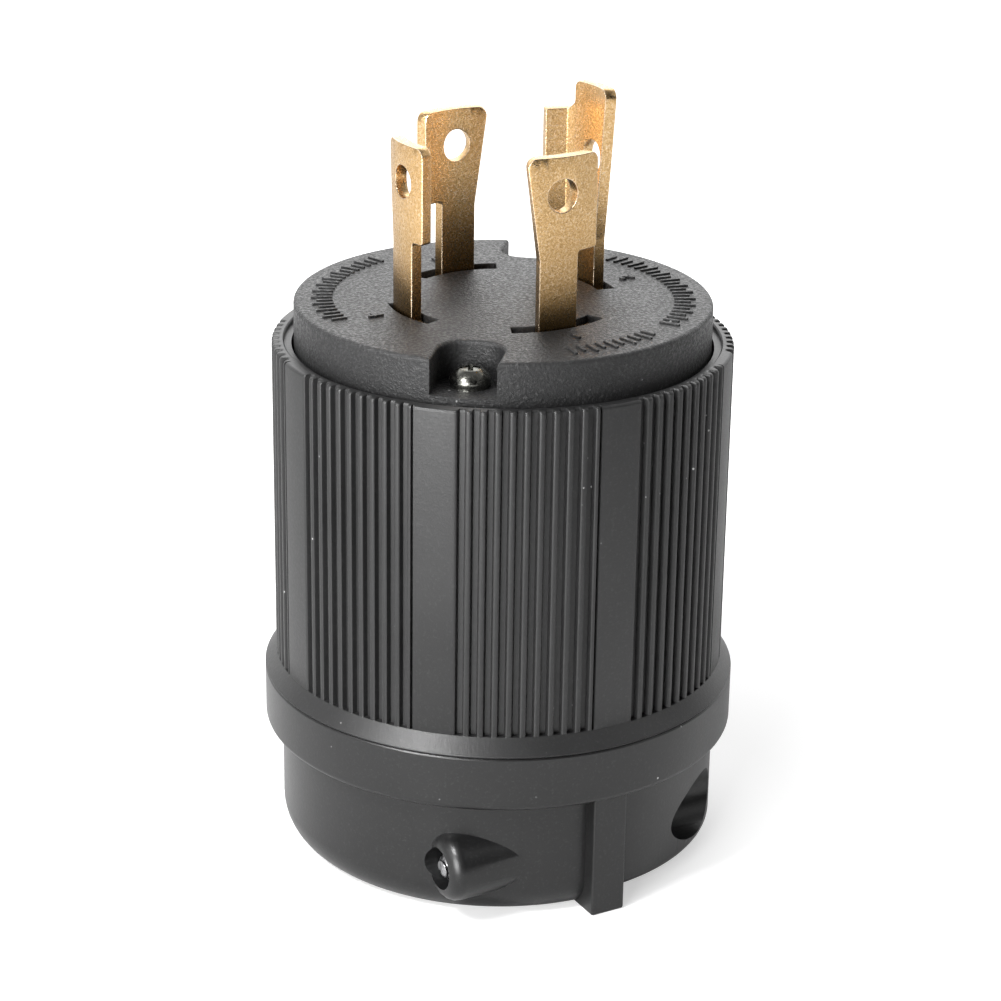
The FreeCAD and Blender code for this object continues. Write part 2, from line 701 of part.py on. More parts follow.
def make_blade_retainer():
    """Plate under the insert that carries the blades, with barriers between terminals."""
    top = s.ledge_height
    low = s.retainer_low
    solids = [
        cylinder("retainer_plate", s.retainer_radius, low, top),
        cylinder("retainer_hub", s.hub_radius, s.barrier_low, top),
    ]
    half = s.barrier_thickness / 2
    wall = box("barrier_wall", (-half, half), (-s.barrier_reach, s.barrier_reach),
               (s.barrier_low, top))
    other = box("barrier_wall_across", (-s.barrier_reach, s.barrier_reach), (-half, half),
                (s.barrier_low, top))
    solids.append(turned_group("barriers", fuse("barrier_cross", wall, other), QUARTER / 2))
    side = s.tail_half_angle + s.slot_end_angle
    voids = []
    for blade, quarter, head_low, head_high, slot_low, slot_high in BLADES:
        slot = annular_sector("tail_slot_" + blade, s.slot_inner, s.slot_outer,
                              low - s.overshoot, top + s.overshoot, side, side)
        voids.append(place(slot, turn=QUARTER * quarter))
    for name, turn, x, y in screw_places():
        voids.append(cylinder("retainer_edge_hole_" + name, s.screw_hole_radius,
                              low - s.overshoot, top + s.overshoot, x, y))
    voids.append(cylinder("retainer_screw_way", s.retainer_screw_radius + s.fit_gap,
                          s.barrier_low, top + s.overshoot))
    voids.append(cylinder("retainer_recess", s.retainer_recess_radius,
                          s.barrier_low - s.overshoot, s.retainer_seat))
    node(cut("retainer", fuse("retainer_solids", *solids), *voids), "blade_retainer")
    head = cylinder("retainer_screw_head", s.retainer_head_radius,
                    s.retainer_seat - s.retainer_head_height, s.retainer_seat)
    shank = cylinder("retainer_screw_shank", s.retainer_screw_radius, s.retainer_seat,
                     top + s.retainer_screw_bite)
    node(fuse("retainer_screw", head, shank), "retainer_screw")


def make_assembly_screws():
    """Long screws from the face notches down to the posts of the rear housing."""
    head_top = s.notch_floor + s.screw_head_height
    for name, turn, x, y in screw_places():
        shank = cylinder("assembly_shank_" + name, s.screw_radius, s.screw_tip,
                         s.notch_floor, x, y)
        blank = cylinder("assembly_head_blank_" + name, s.screw_head_radius, s.notch_floor,
                         head_top, x, y)
        head = round_edges(
            "assembly_head_" + name, blank, s.screw_head_round,
            lambda edge: edge.Closed and edge.BoundBox.ZMin > head_top.value - TOUCH)
        node(fuse("assembly_screw_" + name, shank, head), "assembly_screw_" + name)


def check_document():
    """Stop if an object failed or a sub-part has no valid solid."""
    for item in doc.Objects:
        for state in item.State:
            if state in ("Invalid", "Error"):
                raise RuntimeError("%s is %s" % (item.Label, state))
    for item in NODES:
        if item.Shape.isNull() or not item.Shape.isValid() or not item.Shape.Solids:
            raise RuntimeError("%s has no valid solid" % item.Label)


def main():
    make_rear_housing()
    make_clamp_jaw()
    make_clamp_screws()
    make_grip_sleeve()
    make_face_insert()
    make_blade_retainer()
    make_assembly_screws()
    for blade, quarter, head_low, head_high, slot_low, slot_high in BLADES:
        make_blade(blade, quarter)
        make_terminal(blade, quarter)
    doc.recompute()
    check_document()
    os.makedirs("parts", exist_ok=True)
    for item in NODES:
        item.Shape.exportStep("parts/%s.step" % item.Label)
        print("%-24s solids %d volume %.1f" % (item.Label, len(item.Shape.Solids),
                                               item.Shape.Volume))


main()
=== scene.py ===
import math

import bmesh
import bpy
from mathutils import Matrix, Vector


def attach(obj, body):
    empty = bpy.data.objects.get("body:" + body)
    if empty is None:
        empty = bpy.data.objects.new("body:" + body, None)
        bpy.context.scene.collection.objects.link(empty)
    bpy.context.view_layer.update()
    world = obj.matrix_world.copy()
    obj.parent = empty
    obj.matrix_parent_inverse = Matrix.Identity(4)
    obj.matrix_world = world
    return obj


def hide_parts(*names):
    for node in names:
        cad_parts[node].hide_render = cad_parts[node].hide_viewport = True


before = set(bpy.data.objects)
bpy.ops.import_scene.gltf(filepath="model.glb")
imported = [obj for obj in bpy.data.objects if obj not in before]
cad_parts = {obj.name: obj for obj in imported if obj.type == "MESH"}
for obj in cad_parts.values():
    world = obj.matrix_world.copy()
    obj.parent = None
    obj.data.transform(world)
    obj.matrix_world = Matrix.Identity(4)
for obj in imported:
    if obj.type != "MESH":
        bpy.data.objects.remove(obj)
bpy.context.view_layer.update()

# Lengths are in millimetres and angles in degrees, but the floor and the lamps are in metres.
# Pieces are drawn with the clamp's parting line along -Y and then turned into place, as the
# solids are.
MM = 0.001
PARTING_AZIMUTH = 29.2
ROUND_STEPS = 256

# Front and back as sides along Y, each with a clamp screw and a face notch
SIDES = {"front": -1, "back": 1}

# Cutters, and bars that are welded on, run this far past a face
OVERLAP = 1

# Rear housing and clamp
DOME_RADIUS = 27.3
DOME_ROUND_OUT = 3.4
DOME_ROUND_UP = 4.2
COLLAR_RADIUS = 29.4
COLLAR_LOW = 15.3
PARTING_HEIGHT = 22.2
SEAM_BEVEL = 0.25
SEAM_CREST = 0.07
COLLAR_ROUND = 0.8
UNDERCUT_ROUND = 0.5
MOUTH_BEVEL = 0.5
CUT_REACH = COLLAR_RADIUS + 2
CHAMBER_FLOOR = 18.0
CHAMBER_RADIUS = 23.2
SPIGOT_RADIUS = 25.5
SPIGOT_TOP = 26.0
CORD_RADIUS = 13.0
RIB_LOW_SIDE = 2.8
RIB_HIGH_SIDE = 1.7
RIB_START = CORD_RADIUS + 1.5
RIB_REACH = 29.1
RIB_TOP = COLLAR_LOW + 0.9
RIB_EDGE_ROUND = 0.3
JAW_GAP = 0.3
JAW_TOP_GAP = 0.8
JAW_LOW = 1.8
JAW_MOUTH_ROUND = 0.4
JAW_LOW_ROUND = 1.0
JAW_TOP_ROUND = 0.25
JAW_EDGE_ROUND = 0.22
CLAMP_OFFSET = 21.1
CLAMP_HEIGHT = 6.9
BOSS_RADIUS = 4.25
BOSS_ROUND = 1.8
BOSS_FACE = 19.5
BOSS_SINK = 0.8
CLAMP_HOLE = 2.35
BOSS_HOLE = 2.6
CLAMP_SEAT = 8.5
CLAMP_RECESS = 4.0
CLAMP_TIP = 19.2
CLAMP_THREAD_RADIUS = 1.95
CLAMP_THREAD_PITCH = 0.7
CLAMP_HEAD_RADIUS = 3.5
CLAMP_HEAD_HEIGHT = 2.6
HEAD_OVERLAP = 0.2
NUT_RADIUS = 3.2
NUT_LENGTH = 7.7
POST_RADIUS = 3.0
POST_TOP = 36.0
PILOT_GAP = 0.05

# Grip sleeve
SLEEVE_RADIUS = 28.0
FLARE_TOP = 24.4
FLARE_BOTTOM = 22.5
SLEEVE_RIM = 64.8
RIM_INNER = 26.5
RIM_STEP = 0.6
RIM_ROUND = 0.4
RIM_BEVEL = 0.15
FOOT_ROUND = 0.2
SPIGOT_GAP = 0.1
SPIGOT_HEADROOM = 0.4
SLEEVE_BORE = 25.6
LEDGE_HEIGHT = 54.0
SLEEVE_INNER = 24.0
PANEL_COUNT = 8
GROOVE_COUNT = 10
GROOVE_FIRST = 6.5
GROOVE_PITCH = 3.43
GROOVE_DEPTH = 0.7
GROOVE_HALF = 1.05
GROOVE_WALL = 0.42
GROOVE_CROWN = 0.45
CROWN_SHARE = 0.14
LINE_GROOVE = 39.6
LINE_SHARE = 0.7
LINE_HALF = 0.34
LINE_WALL = 0.18

# Face insert and assembly screws
FACE_HEIGHT = 69.7
FACE_RADIUS = 25.3
FACE_ROUND = 0.5
NOTCH_TURN = 320.6
NOTCH_WIDTH = 7.8
NOTCH_INNER = 17.6
NOTCH_FLOOR = 65.35
NOTCH_ROUND = 3.0
SCREW_CIRCLE = 20.6
SCREW_HEAD_RADIUS = 2.45
SCREW_HEAD_HEIGHT = 2.3
SCREW_RADIUS = 1.5
SCREW_TIP = 22.0
SCREW_HOLE = 1.8
SLOT_ROUND = 0.12
NUMERAL_SIZE = 2.6
NUMERAL_CIRCLE = 17.4
NUMERAL_BEVEL = 0.05
MARK_HEIGHT = 0.22
TICK_HALF = 0.2
TICK_INNER = 20.6
TICK_OUTER = 23.2
SHORT_TICK_OUTER = 22.6
TICK_PITCH = 3.4
TICK_SINK = 0.1
TICK_ROUND = 0.08
TICK_SPANS = ((-162, -92), (-8, 22), (34, 112))

# Blades
BLADE_OUTER = 13.8
BLADE_THICKNESS = 1.5
SLOT_GAP = 0.35
SHOULDER_HEIGHT = 69.0
LOCK_HEIGHT = 78.7
TIP_HEIGHT = 90.2
GROUND_TIP_HEIGHT = 94.3
NECK_LOW = 11.8
GROUND_NECK_LOW = 2.2
NECK_HIGH = 9.4
SLANT_START = 78.0
GROUND_SLANT_START = 75.5
SLANT_RUN = 1.75
GROUND_SLANT_RUN = 2.5
CORNER_ROUND = 1.2
EDGE_ROUND = 0.18
BLADE_CUT = 2
EYE_RADIUS = 1.95
EYE_HEIGHT = 85.6
GROUND_EYE_TURN = 2.3
TAIL_HALF = 15.0
TAIL_LOW = 42.0
TERMINAL_HEIGHT = 46.5
TERMINAL_HOLE = 1.8
LEG_BEND = 50.0
LEG_BEND_INSIDE = 0.35
LEG_LENGTH = 2.7
LEG_TOP = 90.7
LEG_ROUND = 0.3
LEG_STEP = 0.9
LEG_STEP_ROUND = 0.6
LOCK_ROUND = 0.4
NECK_ROUND = 3.0
GROUND_CORNER_ROUND = 0.9

# Each blade: quarter turns from the parting line, head's high side, slot's low and high side
BLADES = {
    "blade_line_one": (0, 22.0, 25.0, 27.0),
    "blade_ground": (1, 18.7, 11.7, 25.4),
    "blade_neutral": (2, 22.5, 25.0, 24.0),
    "blade_line_two": (3, 17.2, 15.5, 22.0),
}
SHOULDER_GAP = 1.8

# Angle about the axis to a millimetre along a blade's outer face
TO_ANGLE = 180 / math.pi / BLADE_OUTER


def arc(centre, radius, start, end, steps):
    """Points of an arc, angles in degrees from +X, end included."""
    points = []
    for step in range(steps + 1):
        angle = math.radians(start + (end - start) * step / steps)
        points.append((centre[0] + radius * math.cos(angle),
                       centre[1] + radius * math.sin(angle)))
    return points


def rounded(corners, steps=6):
    """An outline whose corners, each (x, y, radius), are rounded."""
    points = []
    count = len(corners)
    for index, (x, y, radius) in enumerate(corners):
        corner = Vector((x, y))
        if not radius:
            points.append((x, y))
            continue
        before = (Vector(corners[index - 1][:2]) - corner).normalized()
        after = (Vector(corners[(index + 1) % count][:2]) - corner).normalized()
        half = before.angle(after) / 2
        reach = radius / math.tan(half)
        centre = corner + (before + after).normalized() * (radius / math.sin(half))
        start = corner + before * reach - centre
        end = corner + after * reach - centre
        turn = start.angle_signed(end)
        for step in range(steps + 1):
            spoke = Matrix.Rotation(-turn * step / steps, 2) @ start
            points.append(tuple(centre + spoke))
    return points


def mesh_object(name, bm):
    """Turn a bmesh into an object of the scene."""
    mesh = bpy.data.meshes.new(name)
    bm.to_mesh(mesh)
    bm.free()
    item = bpy.data.objects.new(name, mesh)
    bpy.context.scene.collection.objects.link(item)
    return item


def grid_object(name, rows, closed_rows=True):
    """A closed surface through rows of points, each row a ring."""
    bm = bmesh.new()
    rings = [[bm.verts.new(point) for point in row] for row in rows]
    count = len(rings[0])
    pairs = list(zip(rings, rings[1:]))
    if closed_rows:
        pairs.append((rings[-1], rings[0]))
    for low, high in pairs:
        for index in range(count):
            following = (index + 1) % count
            bm.faces.new((low[index], low[following], high[following], high[index]))
    bmesh.ops.remove_doubles(bm, verts=bm.verts, dist=0.0005)
    bmesh.ops.recalc_face_normals(bm, faces=bm.faces)
    return mesh_object(name, bm)


def circle(radius, height, steps):
    """Points of a level ring about the axis."""
    points = []
    for step in range(steps):
        angle = 2 * math.pi * step / steps
        points.append((radius * math.cos(angle), radius * math.sin(angle), height))
    return points


def lathe(name, outline):
    """A closed outline of (radius, height) turned about the axis."""
    return grid_object(name, [circle(radius, height, ROUND_STEPS) for radius, height in outline])


def capped_bar(name, outline, steps=48):
    """A solid of revolution whose outline starts and ends on the axis."""
    rows = [circle(radius, height, steps) for radius, height in outline]
    return grid_object(name, rows, closed_rows=False)


def bar(name, radius, low, high, bevel=0.0, steps=48):
    """An upright round bar from low to high, its ends rounded by bevel."""
    corners = [(0, low)]
    if bevel:
        corners += arc((radius - bevel, low + bevel), bevel, -90, 0, 5)
        corners += arc((radius - bevel, high - bevel), bevel, 0, 90, 5)
    else:
        corners += [(radius, low), (radius, high)]
    corners.append((0, high))
    return capped_bar(name, corners, steps)


def moved(item, matrix):
    """Transform a piece's mesh in place."""
    item.data.transform(matrix)
    item.data.update()
    return item


def turned(item, azimuth):
    """Turn a piece about the plug's axis, in degrees."""
    return moved(item, Matrix.Rotation(math.radians(azimuth), 4, "Z"))


def along_x(item, y, z):
    """Lay an upright bar along X at the given place."""
    return moved(item, Matrix.Translation((0, y, z)) @ Matrix.Rotation(math.pi / 2, 4, "Y"))


def prism(name, outline, low, high, bevel=0.0):
    """A flat outline, raised from low to high, with its long edges rounded by bevel."""
    bm = bmesh.new()
    face = bm.faces.new([bm.verts.new((x, y, low)) for x, y in outline])
    raised = bmesh.ops.extrude_face_region(bm, geom=[face])
    tops = [item for item in raised["geom"] if isinstance(item, bmesh.types.BMVert)]
    bmesh.ops.translate(bm, verts=tops, vec=(0, 0, high - low))
    bmesh.ops.recalc_face_normals(bm, faces=bm.faces)
    item = mesh_object(name, bm)
    if bevel:
        soften(item, bevel)
    return item


def apply_modifiers(item):
    """Bake the piece's modifiers into its mesh."""
    graph = bpy.context.evaluated_depsgraph_get()
    graph.update()
    mesh = bpy.data.meshes.new_from_object(item.evaluated_get(graph))
    item.modifiers.clear()
    old = item.data
    item.data = mesh
    bpy.data.meshes.remove(old)


def soften(item, width, angle=32, segments=3, clamp=True):
    """Round the piece's sharp edges."""
    bevel = item.modifiers.new("soften", "BEVEL")
    bevel.width = width
    bevel.segments = segments
    bevel.limit_method = "ANGLE"
    bevel.angle_limit = math.radians(angle)
    bevel.use_clamp_overlap = clamp
    apply_modifiers(item)


def combine(item, other, operation):
    """Boolean of two pieces. The second piece is used up."""
    modifier = item.modifiers.new("combine", "BOOLEAN")
    modifier.object = other
    modifier.operation = operation
    modifier.solver = "EXACT"
    apply_modifiers(item)
    bpy.data.objects.remove(other)


def carve(item, *cutters):
    """Cut the cutters out of a piece."""
    for cutter in cutters:
        combine(item, cutter, "DIFFERENCE")
    return item


def unite(item, *others):
    """Weld other closed meshes to a piece."""
    for other in others:
        combine(item, other, "UNION")
    return item


def block(name, low, high, bevel=0.0):
    """A box from its low to its high corner."""
    outline = [(low[0], low[1]), (high[0], low[1]), (high[0], high[1]), (low[0], high[1])]
    return prism(name, outline, low[2], high[2], bevel)


def smooth(item, angle):
    """Shade a piece smoothly, but keep edges sharper than the angle crisp."""
    item.data.shade_smooth()
    item.data.set_sharp_from_angle(angle=math.radians(angle))


def dress(item, body, material, nodes, turn=PARTING_AZIMUTH, angle=30, flat_walls=True):
    """Bring a piece to its place in metres, tie it to its body and hide the nodes that it replaces.

    Edges sharper than angle stay crisp. Flat walls take their normals from their large faces.
    """
    moved(item, Matrix.Scale(MM, 4) @ Matrix.Rotation(math.radians(turn), 4, "Z"))
    smooth(item, angle)
    if flat_walls:
        weighted = item.modifiers.new("weighted", "WEIGHTED_NORMAL")
        weighted.keep_sharp = True
        apply_modifiers(item)
    item.data.materials.clear()
    item.data.materials.append(material)
    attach(item, body)
    if nodes:
        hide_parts(*nodes)


# Materials


class Nodes:
    """A material and short calls that add to its node tree."""

    def __init__(self, name):
        self.material = bpy.data.materials.new(name)
        self.material.use_nodes = True
        self.tree = self.material.node_tree
        self.shader = self.tree.nodes["Principled BSDF"]

    def add(self, kind, **values):
        """A new node, its settings and input sockets set by name."""
        item = self.tree.nodes.new(kind)
        for name, value in values.items():
            if hasattr(item, name):
                setattr(item, name, value)
            else:
                item.inputs[name.replace("_", " ").title()].default_value = value
        return item

    def link(self, start, end):
        """Join an output socket to an input socket."""
        self.tree.links.new(start, end)

    def coordinates(self):
        """Object coordinates in metres."""
        return self.add("ShaderNodeTexCoord").outputs["Object"]

    def noise(self, where, scale, detail=3.0, roughness=0.5):
        """A noise texture. Scale is in cells to a metre."""
        item = self.add("ShaderNodeTexNoise", scale=scale, detail=detail, roughness=roughness)
        self.link(where, item.inputs["Vector"])
        return item.outputs["Fac"]

    def ramp(self, value, stops):
        """A colour ramp through (position, grey or colour) stops."""
        item = self.add("ShaderNodeValToRGB")
        elements = item.color_ramp.elements
        while len(elements) < len(stops):
            elements.new(0.5)
        for element, (position, colour) in zip(elements, stops):
            element.position = position
            if isinstance(colour, (int, float)):
                colour = (colour, colour, colour)
            element.color = (*colour, 1)
        self.link(value, item.inputs["Fac"])
        return item.outputs["Color"]

    def mix(self, factor, first, second):
        """A colour mix. Each value is a number, a colour or another node's output."""
        item = self.add("ShaderNodeMix", data_type="RGBA")
        for socket, value in ((item.inputs["Factor"], factor), (item.inputs[6], first),
                              (item.inputs[7], second)):
            if isinstance(value, bpy.types.NodeSocket):
                self.link(value, socket)
            else:
                socket.default_value = value if socket.type != "RGBA" else (*value, 1)
        return item.outputs[2]

    def bump(self, height, distance, strength=1.0, below=None):
        """A bump of distance metres, on top of another bump if one is given."""
        item = self.add("ShaderNodeBump", distance=distance, strength=strength)
        self.link(height, item.inputs["Height"])
        if below is not None:
            self.link(below, item.inputs["Normal"])
        return item.outputs["Normal"]


def nylon(name, colour, roughness, grain, specks):
    """Moulded black nylon: fine grain, faint mottling and tiny pale dust specks.

    Grain is the height of the surface grain in millimetres, and specks the share of dust.
    """
    pale_flecks_and_edge_highlight, dust = (0.12, 0.12, 0.12), (0.55, 0.55, 0.55)
    n = Nodes(name)
    where = n.coordinates()
    fine = n.noise(where, 2600, 3.0, 0.7)
    broad = n.noise(where, 90, 4.0, 0.6)
    dark = tuple(channel * 0.75 for channel in colour)
    light = tuple(channel * 1.3 for channel in colour)
    body = n.mix(n.ramp(broad, [(0.3, 0.25), (0.7, 0.75)]), dark, light)
    body = n.mix(n.ramp(fine, [(0.55, 0.0), (0.8, specks)]), body, pale_flecks_and_edge_highlight)
    cells = n.add("ShaderNodeTexVoronoi", scale=700)
    n.link(where, cells.inputs["Vector"])
    dots = n.ramp(cells.outputs["Distance"], [(0.05, 1.0), (0.12, 0.0)])
    threshold = 0.66 - 0.16 * specks
    patches = n.ramp(n.noise(where, 330, 2.0), [(threshold, 0.0), (threshold + 0.06, 1.0)])
    scattered = n.add("ShaderNodeMath", operation="MULTIPLY")
    n.link(dots, scattered.inputs[0])
    n.link(patches, scattered.inputs[1])
    n.link(n.mix(scattered.outputs[0], body, dust), n.shader.inputs["Base Color"])
    spread = grain * 1.5
    smeared = n.ramp(broad, [(0.3, roughness - 0.04), (0.7, roughness + 0.05)])
    sparkle = n.ramp(fine, [(0.4, roughness + spread), (0.6, roughness - spread)])
    n.link(n.mix(0.6, smeared, sparkle), n.shader.inputs["Roughness"])
    n.link(n.bump(fine, grain * MM), n.shader.inputs["Normal"])
    return n.material


def brass(name, dark, middle, light, roughness):
    """Stamped, tumbled brass: fine pits, a painted highlight that draws the rounded edges pale, and
    painted shade that makes it darker and browner towards the face.
    """
    stain, edge_highlight_colour = (0.62, 0.36, 0.13), (0.97, 0.80, 0.62)
    n = Nodes(name)
    where = n.coordinates()
    pits = n.noise(where, 6500, 2.0, 0.7)
    grain = n.noise(where, 3600, 3.0, 0.75)
    broad = n.noise(where, 110, 3.0)
    body = n.ramp(grain, [(0.22, dark), (0.5, middle), (0.75, light)])
    pitted = n.mix(n.ramp(pits, [(0.38, 0.5), (0.52, 0.0)]), body, dark)
    stained = n.mix(n.ramp(broad, [(0.4, 0.0), (0.7, 0.3)]), pitted, stain)
    height = n.add("ShaderNodeSeparateXYZ")
    n.link(where, height.inputs[0])
    rise = n.add("ShaderNodeMapRange")
    rise.inputs["From Min"].default_value = FACE_HEIGHT * MM
    rise.inputs["From Max"].default_value = TIP_HEIGHT * MM
    n.link(height.outputs["Z"], rise.inputs["Value"])
    # Painted shade: the brass is drawn darker and browner towards the face
    shade = n.ramp(rise.outputs["Result"], [(0.0, 0.9), (0.2, 0.55), (0.6, 0.05)])
    shaded_towards_face = n.mix(shade, stained, tuple(channel * 0.4 for channel in dark))
    # Painted highlight: the rounded edges are drawn pale
    rim = n.add("ShaderNodeAttribute", attribute_name="edge")
    pale_flecks_and_edge_highlight = n.mix(n.ramp(rim.outputs["Fac"], [(0.3, 0.0), (1.0, 0.75)]), shaded_towards_face, edge_highlight_colour)
    n.link(pale_flecks_and_edge_highlight, n.shader.inputs["Base Color"])
    n.shader.inputs["Metallic"].default_value = 1.0
    n.link(n.ramp(grain, [(0.3, roughness + 0.08), (0.7, roughness - 0.06)]),
           n.shader.inputs["Roughness"])
    coarse = n.bump(grain, 0.04 * MM, 0.5)
    n.link(n.bump(pits, 0.03 * MM, 0.8, coarse), n.shader.inputs["Normal"])
    return n.material


def steel(name, colour, roughness):
    """Plated screw steel with faint scratches."""
    n = Nodes(name)
    where = n.coordinates()
    grain = n.noise(where, 2600, 3.0, 0.6)
    dark = tuple(channel * 0.7 for channel in colour)
    n.link(n.ramp(grain, [(0.3, dark), (0.7, colour)]), n.shader.inputs["Base Color"])
    n.shader.inputs["Metallic"].default_value = 1.0
    n.link(n.ramp(grain, [(0.3, roughness - 0.05), (0.7, roughness + 0.12)]),
           n.shader.inputs["Roughness"])
    n.link(n.bump(grain, 0.015 * MM), n.shader.inputs["Normal"])
    return n.material


SHELL = nylon("satin nylon", (0.013, 0.013, 0.0132), 0.42, 0.02, 0.15)
HOUSING = nylon("housing nylon", (0.008, 0.008, 0.0082), 0.33, 0.012, 0.15)
FACE = nylon("face nylon", (0.010, 0.010, 0.0103), 0.46, 0.15, 0.45)
INNER = nylon("inner nylon", (0.03, 0.03, 0.031), 0.6, 0.02, 0.0)
BLADE = brass("tumbled brass", (0.40, 0.24, 0.09), (0.77, 0.51, 0.245), (0.98, 0.80, 0.58), 0.27)
TERMINAL = brass("terminal brass", (0.55, 0.36, 0.15), (0.78, 0.58, 0.32), (0.9, 0.72, 0.45), 0.34)
SCREW = steel("dark screw", (0.22, 0.22, 0.20), 0.20)
ZINC = steel("zinc screw", (0.50, 0.50, 0.51), 0.26)
GREEN = steel("green screw", (0.10, 0.38, 0.16), 0.36)


# Grip sleeve


def groove_share(angle):
    """How deep the sleeve's wall is cut at an angle, from 0 on a rib to 1 in a groove."""
    angle = angle % (360 / PANEL_COUNT)
    depth = 0.0
    for index in range(GROOVE_COUNT):
        off = abs(angle - GROOVE_FIRST - GROOVE_PITCH * index)
        if off < GROOVE_HALF + GROOVE_CROWN:
            wall = min(max((GROOVE_HALF - off) / GROOVE_WALL, 0.0), 1.0)
            crown = min(max(off - GROOVE_HALF, 0.0) / GROOVE_CROWN, 1.0)
            eased = wall * wall * (3 - 2 * wall)
            depth = max(depth, eased * (1 - CROWN_SHARE) + CROWN_SHARE * (1 - crown) ** 2)
    off = abs(angle - LINE_GROOVE)
    return max(depth, LINE_SHARE * min(max((LINE_HALF - off) / LINE_WALL, 0.0), 1.0))


def sleeve_angles():
    """Angles around the sleeve, close together where a groove's wall is."""
    panel = 360 / PANEL_COUNT
    band_spots = (0.0, 1.5, 3.0, 4.5, 41.2, 43.0)
    groove_offsets = (1.5, 1.3, 1.15, 1.02, 0.9, 0.77, 0.65, 0.0)
    line_offsets = (0.36, 0.25, 0.15, 0.0)
    spots = set(band_spots)
    for index in range(GROOVE_COUNT):
        middle = GROOVE_FIRST + GROOVE_PITCH * index
        for off in groove_offsets:
            spots.update((round(middle - off, 4), round(middle + off, 4)))
    for off in line_offsets:
        spots.update((LINE_GROOVE - off, LINE_GROOVE + off))
    angles = []
    for number in range(PANEL_COUNT):
        angles += [number * panel + spot for spot in sorted(spots)]
    return angles


def grip_sleeve():
    """Outer sleeve with rounded ribs, smooth bands, a flared foot and a stepped rim."""
    angles = sleeve_angles()
    shares = [groove_share(angle) for angle in angles]

    def ring(radii, height):
        points = []
        for angle, radius in zip(angles, radii):
            where = math.radians(angle)
            points.append((radius * math.sin(where), -radius * math.cos(where), height))
        return points

    def plain(radius, height):
        return ring([radius] * len(angles), height)

    def ribbed(height, inset=0.0):
        return ring([SLEEVE_RADIUS - GROOVE_DEPTH * share - inset for share in shares], height)

    rows = [plain(COLLAR_RADIUS - SEAM_BEVEL, PARTING_HEIGHT),
            plain(COLLAR_RADIUS - SEAM_CREST, PARTING_HEIGHT + SEAM_BEVEL * 0.5),
            plain(COLLAR_RADIUS, PARTING_HEIGHT + SEAM_BEVEL)]
    lean = math.atan2(COLLAR_RADIUS - SLEEVE_RADIUS, FLARE_TOP - FLARE_BOTTOM)
    for step in range(5):
        angle = (math.pi / 2 - lean) * step / 4
        rows.append(plain(COLLAR_RADIUS - FOOT_ROUND * (1 - math.cos(angle)),
                          FLARE_BOTTOM - FOOT_ROUND * 0.3 + FOOT_ROUND * math.sin(angle)))
    # A fine crease parts the flare from the ribs
    rows += [plain(SLEEVE_RADIUS + 0.04, FLARE_TOP - 0.06), plain(SLEEVE_RADIUS - 0.02, FLARE_TOP),
             ribbed(FLARE_TOP + 0.05), ribbed((FLARE_TOP + SLEEVE_RIM) / 2)]
    for step in range(5):
        angle = math.radians(90 * step / 4)
        rows.append(ribbed(SLEEVE_RIM - RIM_ROUND * (1 - math.sin(angle)),
                           RIM_ROUND * (1 - math.cos(angle))))
    step_height = SLEEVE_RIM - RIM_STEP
    spigot_top = SPIGOT_TOP + SPIGOT_HEADROOM
    spigot_bore = SPIGOT_RADIUS + SPIGOT_GAP
    for radius, height in ((RIM_INNER + RIM_BEVEL, SLEEVE_RIM), (RIM_INNER, SLEEVE_RIM - RIM_BEVEL),
                           (RIM_INNER, step_height), (SLEEVE_BORE, step_height),
                           (SLEEVE_BORE, LEDGE_HEIGHT), (SLEEVE_INNER, LEDGE_HEIGHT),
                           (SLEEVE_INNER, spigot_top), (spigot_bore, spigot_top),
                           (spigot_bore, PARTING_HEIGHT)):
        rows.append(plain(radius, height))
    sleeve = grid_object("sleeve", rows)
    dress(sleeve, "plug", SHELL, ["grip_sleeve"], angle=28, flat_walls=False)


# Rear housing


def housing_section():
    """Half section of the housing: mouth, dome, collar, parting face, spigot and bores."""
    dome = [(DOME_RADIUS - DOME_ROUND_OUT + DOME_ROUND_OUT * x, DOME_ROUND_UP + DOME_ROUND_UP * y)
            for x, y in arc((0, 0), 1, -90, 0, 12)]
    undercut = arc((DOME_RADIUS + UNDERCUT_ROUND, COLLAR_LOW - UNDERCUT_ROUND), UNDERCUT_ROUND,
                   180, 90, 5)
    collar = arc((COLLAR_RADIUS - COLLAR_ROUND, COLLAR_LOW + COLLAR_ROUND), COLLAR_ROUND, -90, 0, 6)
    seam = [(COLLAR_RADIUS, PARTING_HEIGHT - SEAM_BEVEL),
            (COLLAR_RADIUS - SEAM_CREST, PARTING_HEIGHT - SEAM_BEVEL * 0.5),
            (COLLAR_RADIUS - SEAM_BEVEL, PARTING_HEIGHT)]
    inside = [(SPIGOT_RADIUS, PARTING_HEIGHT), (SPIGOT_RADIUS, SPIGOT_TOP),
              (CHAMBER_RADIUS, SPIGOT_TOP), (CHAMBER_RADIUS, CHAMBER_FLOOR),
              (CORD_RADIUS, CHAMBER_FLOOR), (CORD_RADIUS, MOUTH_BEVEL)]
    return [(CORD_RADIUS + MOUTH_BEVEL, 0)] + dome + undercut + collar + seam + inside


def notch_turn(side):
    """Azimuth of the face notch on the front side, -1, or the back side, 1."""
    return NOTCH_TURN if side < 0 else NOTCH_TURN - 180


def at_notch(item, side):
    """Move an upright bar from the axis to the screw's place in a face notch."""
    moved(item, Matrix.Translation((0, -SCREW_CIRCLE, 0)))
    return turned(item, notch_turn(side))


def clamp_bore():
    """Cutter for a clamp screw's hole, wider where its nut sits."""
    step = RIB_HIGH_SIDE - NUT_LENGTH
    low, high = -BOSS_FACE - OVERLAP, RIB_HIGH_SIDE + OVERLAP
    return capped_bar("bore", [(0, low), (BOSS_HOLE, low), (BOSS_HOLE, step), (NUT_RADIUS, step),
                               (NUT_RADIUS, high), (0, high)], steps=72)


